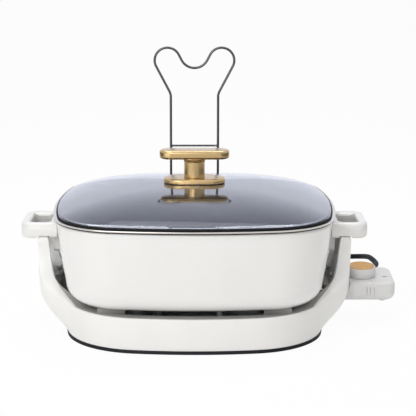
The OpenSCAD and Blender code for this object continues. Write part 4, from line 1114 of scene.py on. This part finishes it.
class SKILLET_OT_control(bpy.types.Operator):
    """Makes the housing of the plug-in control and its dial"""

    bl_idname = "skillet.control"
    bl_label = "Control"

    def execute(self, context):
        control, base = context.scene.skillet_control, context.scene.skillet_base
        self.housing(control, base)
        self.dial(control)
        return {"FINISHED"}

    def housing(self, k, base):
        """The lower and upper case, with the inner end on the arm's slant and a sloped top."""
        low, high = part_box("control_top")
        near, far = low.x, high.x + 0.0016
        slope, arm = math.tan(k.tilt), BaseShape(base)
        gap, edge, under = 0.00003, 0.0034, 0.0075
        side = k.split - gap - k.low

        def loop(inset, level, push):
            back = min(near, base.half + arm.outer(level(0.0)) + 0.0007) + push
            corner = max(k.corner - inset * 0.6, 0.002)
            plan = rounded(back, far - inset, -k.half + inset, k.half - inset, 0.0012, corner, 10)
            return [(x, y, level(y)) for x, y in plan]

        def skin(inset, level):
            return loop(inset, level, min(inset, 0.0008))

        def lining(inset, level):
            return loop(inset, level, k.wall)

        def flat(z):
            return lambda y: z

        def sloped(drop):
            return lambda y: k.top + slope * y - drop

        rings = [skin(under * (1 - c), flat(k.low + side * (1 + s))) for c, s in quarter(-90, 0, 10)]
        rings += [lining(k.wall, flat(k.split - gap)), lining(k.wall + 0.002, flat(k.low + 0.004)),
                  lining(under + 0.001, flat(k.low + k.wall))]
        lower = solid("control_lower_case", rings)
        rings = [skin(0.0, flat(k.split + gap)), skin(0.0, sloped(edge))]
        rings += [skin(edge * (1 - c), sloped(edge - edge * s)) for c, s in quarter(0, 90, 7)[1:]]
        rings.reverse()
        rings += [lining(k.wall, flat(k.split + gap)), lining(k.wall, sloped(k.wall + edge)),
                  lining(k.wall + edge, sloped(k.wall))]
        upper = solid("control_upper_case", rings)
        for piece, node in ((lower, "control_base"), (upper, "control_top")):
            combine(piece, self.cuts(k, near, piece is upper), "DIFFERENCE")
            dress(piece, "control", "control_plastic", ["control_grey"], [node], 32)

    def cuts(self, k, near, upper):
        """Tools for the nose, the finger grooves and the cord's exit, and on the upper case the lens."""
        low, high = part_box("contact_block")
        room = Vector((0.0, 0.0002, 0.0002))
        tools = [block("nose", low - room, high + room)]
        groove = [(0.0004, 0.0285), (0.0009, 0.0295), (0.0009, 0.0414), (0.0004, 0.0424)]
        for x in (0.0195, 0.0234, 0.0275):
            tools.append(solid("groove", [[(near + x + a, -k.half + 0.0006 + b, z) for a, b, z in ring]
                                          for ring in lathe(groove, 20)]))
        x, _, z = LEAD[0]
        tools.append(solid("exit", lying(lathe([(0.0046, -0.006), (0.0046, 0.004)], 28), x, k.half, z)))
        if upper:
            low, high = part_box("indicator_lens")
            spare = Vector((0.0001, 0.0001, 0.002))
            tools.append(block("lens", low - spare, high + spare))
        return tools

    def dial(self, k):
        """The dial's ring with a groove round it, and its gold cap."""
        low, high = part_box("dial_ring")
        x = (low.x + high.x) / 2
        c, s = math.cos(k.tilt), math.sin(k.tilt)

        def turned(name, profile, joined=False):
            rings = [[(x + a, b * c - z * s, k.top + b * s + z * c) for a, b, z in ring]
                     for ring in lathe(profile, 96)]
            return solid(name, rings, joined)

        r, h = k.dial_r, k.dial_h - 0.0004
        cap, groove, bore, sunk = r - 0.0016, r - 0.0005, 0.0031, 0.0011
        grip = [(bore, 0.0004), (r - 0.0002, 0.0004), (r, 0.0007), (r, 0.0022), (groove, 0.0025),
                (groove, 0.0029), (r, 0.0032), (r - 0.0001, h - 0.0016), (r - 0.0004, h - 0.0006),
                (r - 0.0010, h), (cap + 0.0001, h), (cap + 0.0001, h - sunk), (bore, h - sunk)]
        dress(turned("dial_grip", grip, True), "dial", "control_plastic", ["dial_white"], ["dial_ring"], 30)
        pin = 0.0005
        face = [(pin, h - 0.0010), (cap, h - 0.0010), (cap, h + 0.0001), (cap - 0.0004, h + 0.0004),
                (cap * 0.5, h + 0.00035), (pin, h + 0.0003)]
        dress(turned("dial_face", face), "dial", "dial_gold", ["dial_gold"], ["dial_cap"], 30)


# Inner pieces


class SKILLET_OT_inner(bpy.types.Operator):
    """Gives the inner solids their finishes and softened edges"""

    bl_idname = "skillet.inner"
    bl_label = "Inner pieces"

    def execute(self, context):
        self.soften("holder_socket", "moulded_white")
        for name, (_, _, _, *nodes) in INNER.items():
            for node in nodes:
                self.soften(node, name)
        return {"FINISHED"}

    def soften(self, node, name):
        """Gives a solid its finish and small bevels."""
        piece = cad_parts[node]
        piece.data.materials.clear()
        piece.data.materials.append(finish(name))
        soft = piece.modifiers.new("soft_edges", "BEVEL")
        soft.width, soft.segments, soft.limit_method = 0.0003, 2, "ANGLE"
        soft.angle_limit = math.radians(40)


# Stage


def cleared(owner):
    """The empty node tree of a new world or material."""
    owner.use_nodes = True
    owner.node_tree.nodes.clear()
    return owner.node_tree


def seen(tree):
    """Is 1 for camera, glossy and transmission rays."""
    path = node_of(tree, "ShaderNodeLightPath")
    first, second = node_of(tree, "ShaderNodeMath"), node_of(tree, "ShaderNodeMath")
    first.operation = second.operation = "MAXIMUM"
    tree.links.new(path.outputs["Is Camera Ray"], first.inputs[0])
    tree.links.new(path.outputs["Is Glossy Ray"], first.inputs[1])
    tree.links.new(first.outputs[0], second.inputs[0])
    tree.links.new(path.outputs["Is Transmission Ray"], second.inputs[1])
    return second.outputs[0]


def mixed(tree, share, first, second):
    """A shader that goes from the first to the second with share."""
    mix = node_of(tree, "ShaderNodeMixShader")
    for output, socket in zip((share, first.outputs[0], second.outputs[0]), mix.inputs):
        tree.links.new(output, socket)
    return mix


def sheet(name, corners, material):
    """A flat piece of the stage."""
    mesh = bpy.data.meshes.new(name)
    mesh.from_pydata(corners, [], [(0, 1, 2, 3)])
    mesh.materials.append(material)
    return place(name, mesh)


def standing(start, stop, tall=0.16):
    """Corners of a low card that stands on the floor."""
    return [(*start, 0), (*stop, 0), (*stop, tall), (*start, tall)]


def hanging(start, stop, back):
    """Corners of a level card overhead, which the lid's front edge reflects."""
    near, deep, high = 0.24, 0.31, 1.52
    return [(start, near, high), (stop, near + back, high), (stop, near + back + deep, high),
            (start, near + deep, high)]


class SKILLET_OT_stage(bpy.types.Operator):
    """Makes the floor, the white surroundings, the lamps and the cards that reflections see"""

    bl_idname = "skillet.stage"
    bl_label = "Stage"

    def execute(self, context):
        studio = context.scene.skillet_studio
        context.scene.view_settings.view_transform = "Standard"
        self.world(studio)
        self.floor()
        for name, spot, aim, size, share in (("key", (-0.9, -1.4, 1.2), 0.08, 1.2, 0.85),
                                             ("front", (-0.45, -2.15, 0.60), 0.08, 0.8, 0.36),
                                             ("top", (0.1, 0.3, 1.7), 0.1, 1.4, 0.5)):
            self.lamp(name, spot, (0.0, 0.0, aim), (size, size), studio.key * share)
        deep, glow = 0.30, 45
        for name, x, wide in (("left_strip", -0.150, 0.14), ("right_strip", 0.176, 0.06)):
            strip = self.lamp(name, (x, 0.42, 1.52), (x / 2, -0.148, 0.134), (wide, deep), glow * wide * deep)
            strip.visible_glossy = False
        self.card("left_edge_card", hanging(-0.105, -0.78, 0.38), 9.0)
        self.card("right_edge_card", hanging(0.085, 0.60, 0.27), 9.0)
        self.card("bright_card", standing((-0.85, -0.43), (-0.40, -0.86)), 2.2)
        self.card("right_dark_card", standing((0.8, -0.95), (0.8, 0.70)), 0.12)
        self.card("left_dark_card", standing((-0.8, -0.10), (-0.8, 1.30)), 0.12)
        return {"FINISHED"}

    def card(self, name, corners, glow):
        """Sets up a card that only reflections see, as a photographer shapes a metal's shine."""
        material = bpy.data.materials.new(name)
        tree = cleared(material)
        out = node_of(tree, "ShaderNodeOutputMaterial")
        light = node_of(tree, "ShaderNodeEmission", Strength=glow)
        tree.links.new(light.outputs[0], out.inputs["Surface"])
        card = sheet(name, corners, material)
        card.visible_camera = card.visible_diffuse = card.visible_shadow = False
        card.visible_transmission = False

    def world(self, studio):
        """Soft light from all round, white where it is seen and slightly cool in reflections."""
        world = bpy.data.worlds.new("surroundings")
        bpy.context.scene.world = world
        tree = cleared(world)
        out = node_of(tree, "ShaderNodeOutputWorld")
        light = node_of(tree, "ShaderNodeBackground", Color=(1.0, 0.99, 0.975, 1.0), Strength=studio.fill)
        white = node_of(tree, "ShaderNodeBackground", Color=(1.0, 1.0, 1.0, 1.0), Strength=1.0)
        cool = node_of(tree, "ShaderNodeBackground", Color=(0.87, 0.90, 1.0, 1.0), Strength=1.10)
        path = node_of(tree, "ShaderNodeLightPath")
        shine = mixed(tree, path.outputs["Is Glossy Ray"], white, cool)
        tree.links.new(mixed(tree, seen(tree), light, shine).outputs[0], out.inputs["Surface"])

    def floor(self):
        """A wide pale floor that takes the skillet's shadow."""
        material = bpy.data.materials.new("pale_floor")
        tree = cleared(material)
        out = node_of(tree, "ShaderNodeOutputMaterial")
        plain = node_of(tree, "ShaderNodeBsdfDiffuse", Color=(0.95, 0.95, 0.95, 1.0))
        glow = node_of(tree, "ShaderNodeEmission", Strength=1.0)
        part = node_of(tree, "ShaderNodeMath")
        part.operation = "MULTIPLY"
        part.inputs[1].default_value = 0.95
        tree.links.new(seen(tree), part.inputs[0])
        tree.links.new(mixed(tree, part.outputs[0], plain, glow).outputs[0], out.inputs["Surface"])
        far = 40.0
        floor = sheet("floor", [(-far, -far, 0), (far, -far, 0), (far, far, 0), (-far, far, 0)], material)
        floor.location.z = -0.0002

    def lamp(self, name, spot, aim, size, power):
        """A soft rectangular lamp that looks at a point."""
        data = bpy.data.lights.new(name, "AREA")
        data.shape, data.energy = "RECTANGLE", power
        data.size, data.size_y = size
        lamp = place(name, data)
        lamp.location = spot
        lamp.rotation_euler = (Vector(aim) - Vector(spot)).to_track_quat("-Z", "Y").to_euler()
        return lamp


# Add-on

OPERATORS = (
    SKILLET_OT_camera, SKILLET_OT_cord, SKILLET_OT_base, SKILLET_OT_pan, SKILLET_OT_lid, SKILLET_OT_holder,
    SKILLET_OT_control, SKILLET_OT_inner, SKILLET_OT_stage,
)
GROUPS = {
    "skillet_pan": SkilletPan, "skillet_lid": SkilletLid, "skillet_base": SkilletBase,
    "skillet_handles": SkilletHandles, "skillet_holder": SkilletHolder, "skillet_control": SkilletControl,
    "skillet_cord": SkilletCord, "skillet_colours": SkilletColours, "skillet_studio": SkilletStudio,
}


class SKILLET_PT_panel(bpy.types.Panel):
    """Lists the steps and the sizes of the skillet"""

    bl_label = "Electric skillet"
    bl_idname = "SKILLET_PT_panel"
    bl_space_type = "VIEW_3D"
    bl_region_type = "UI"
    bl_category = "Skillet"

    def draw(self, context):
        for step in OPERATORS:
            self.layout.operator(step.bl_idname)
        for name in GROUPS:
            group = getattr(context.scene, name)
            box = self.layout.box()
            box.label(text=name.replace("skillet_", "").capitalize())
            for key in group.__annotations__:
                box.prop(group, key)


def register():
    """Makes the sizes, the steps and the panel known to Blender."""
    for name, group in GROUPS.items():
        bpy.utils.register_class(group)
        setattr(bpy.types.Scene, name, PointerProperty(type=group))
    for kind in (*OPERATORS, SKILLET_PT_panel):
        bpy.utils.register_class(kind)


def unregister():
    """Takes them away again."""
    for kind in (SKILLET_PT_panel, *reversed(OPERATORS)):
        bpy.utils.unregister_class(kind)
    for name, group in GROUPS.items():
        delattr(bpy.types.Scene, name)
        bpy.utils.unregister_class(group)


def main():
    """Makes the whole skillet and its stage."""
    register()
    for step in OPERATORS:
        getattr(bpy.ops.skillet, step.bl_idname.split(".")[1])()


if __name__ == "__main__":
    main()
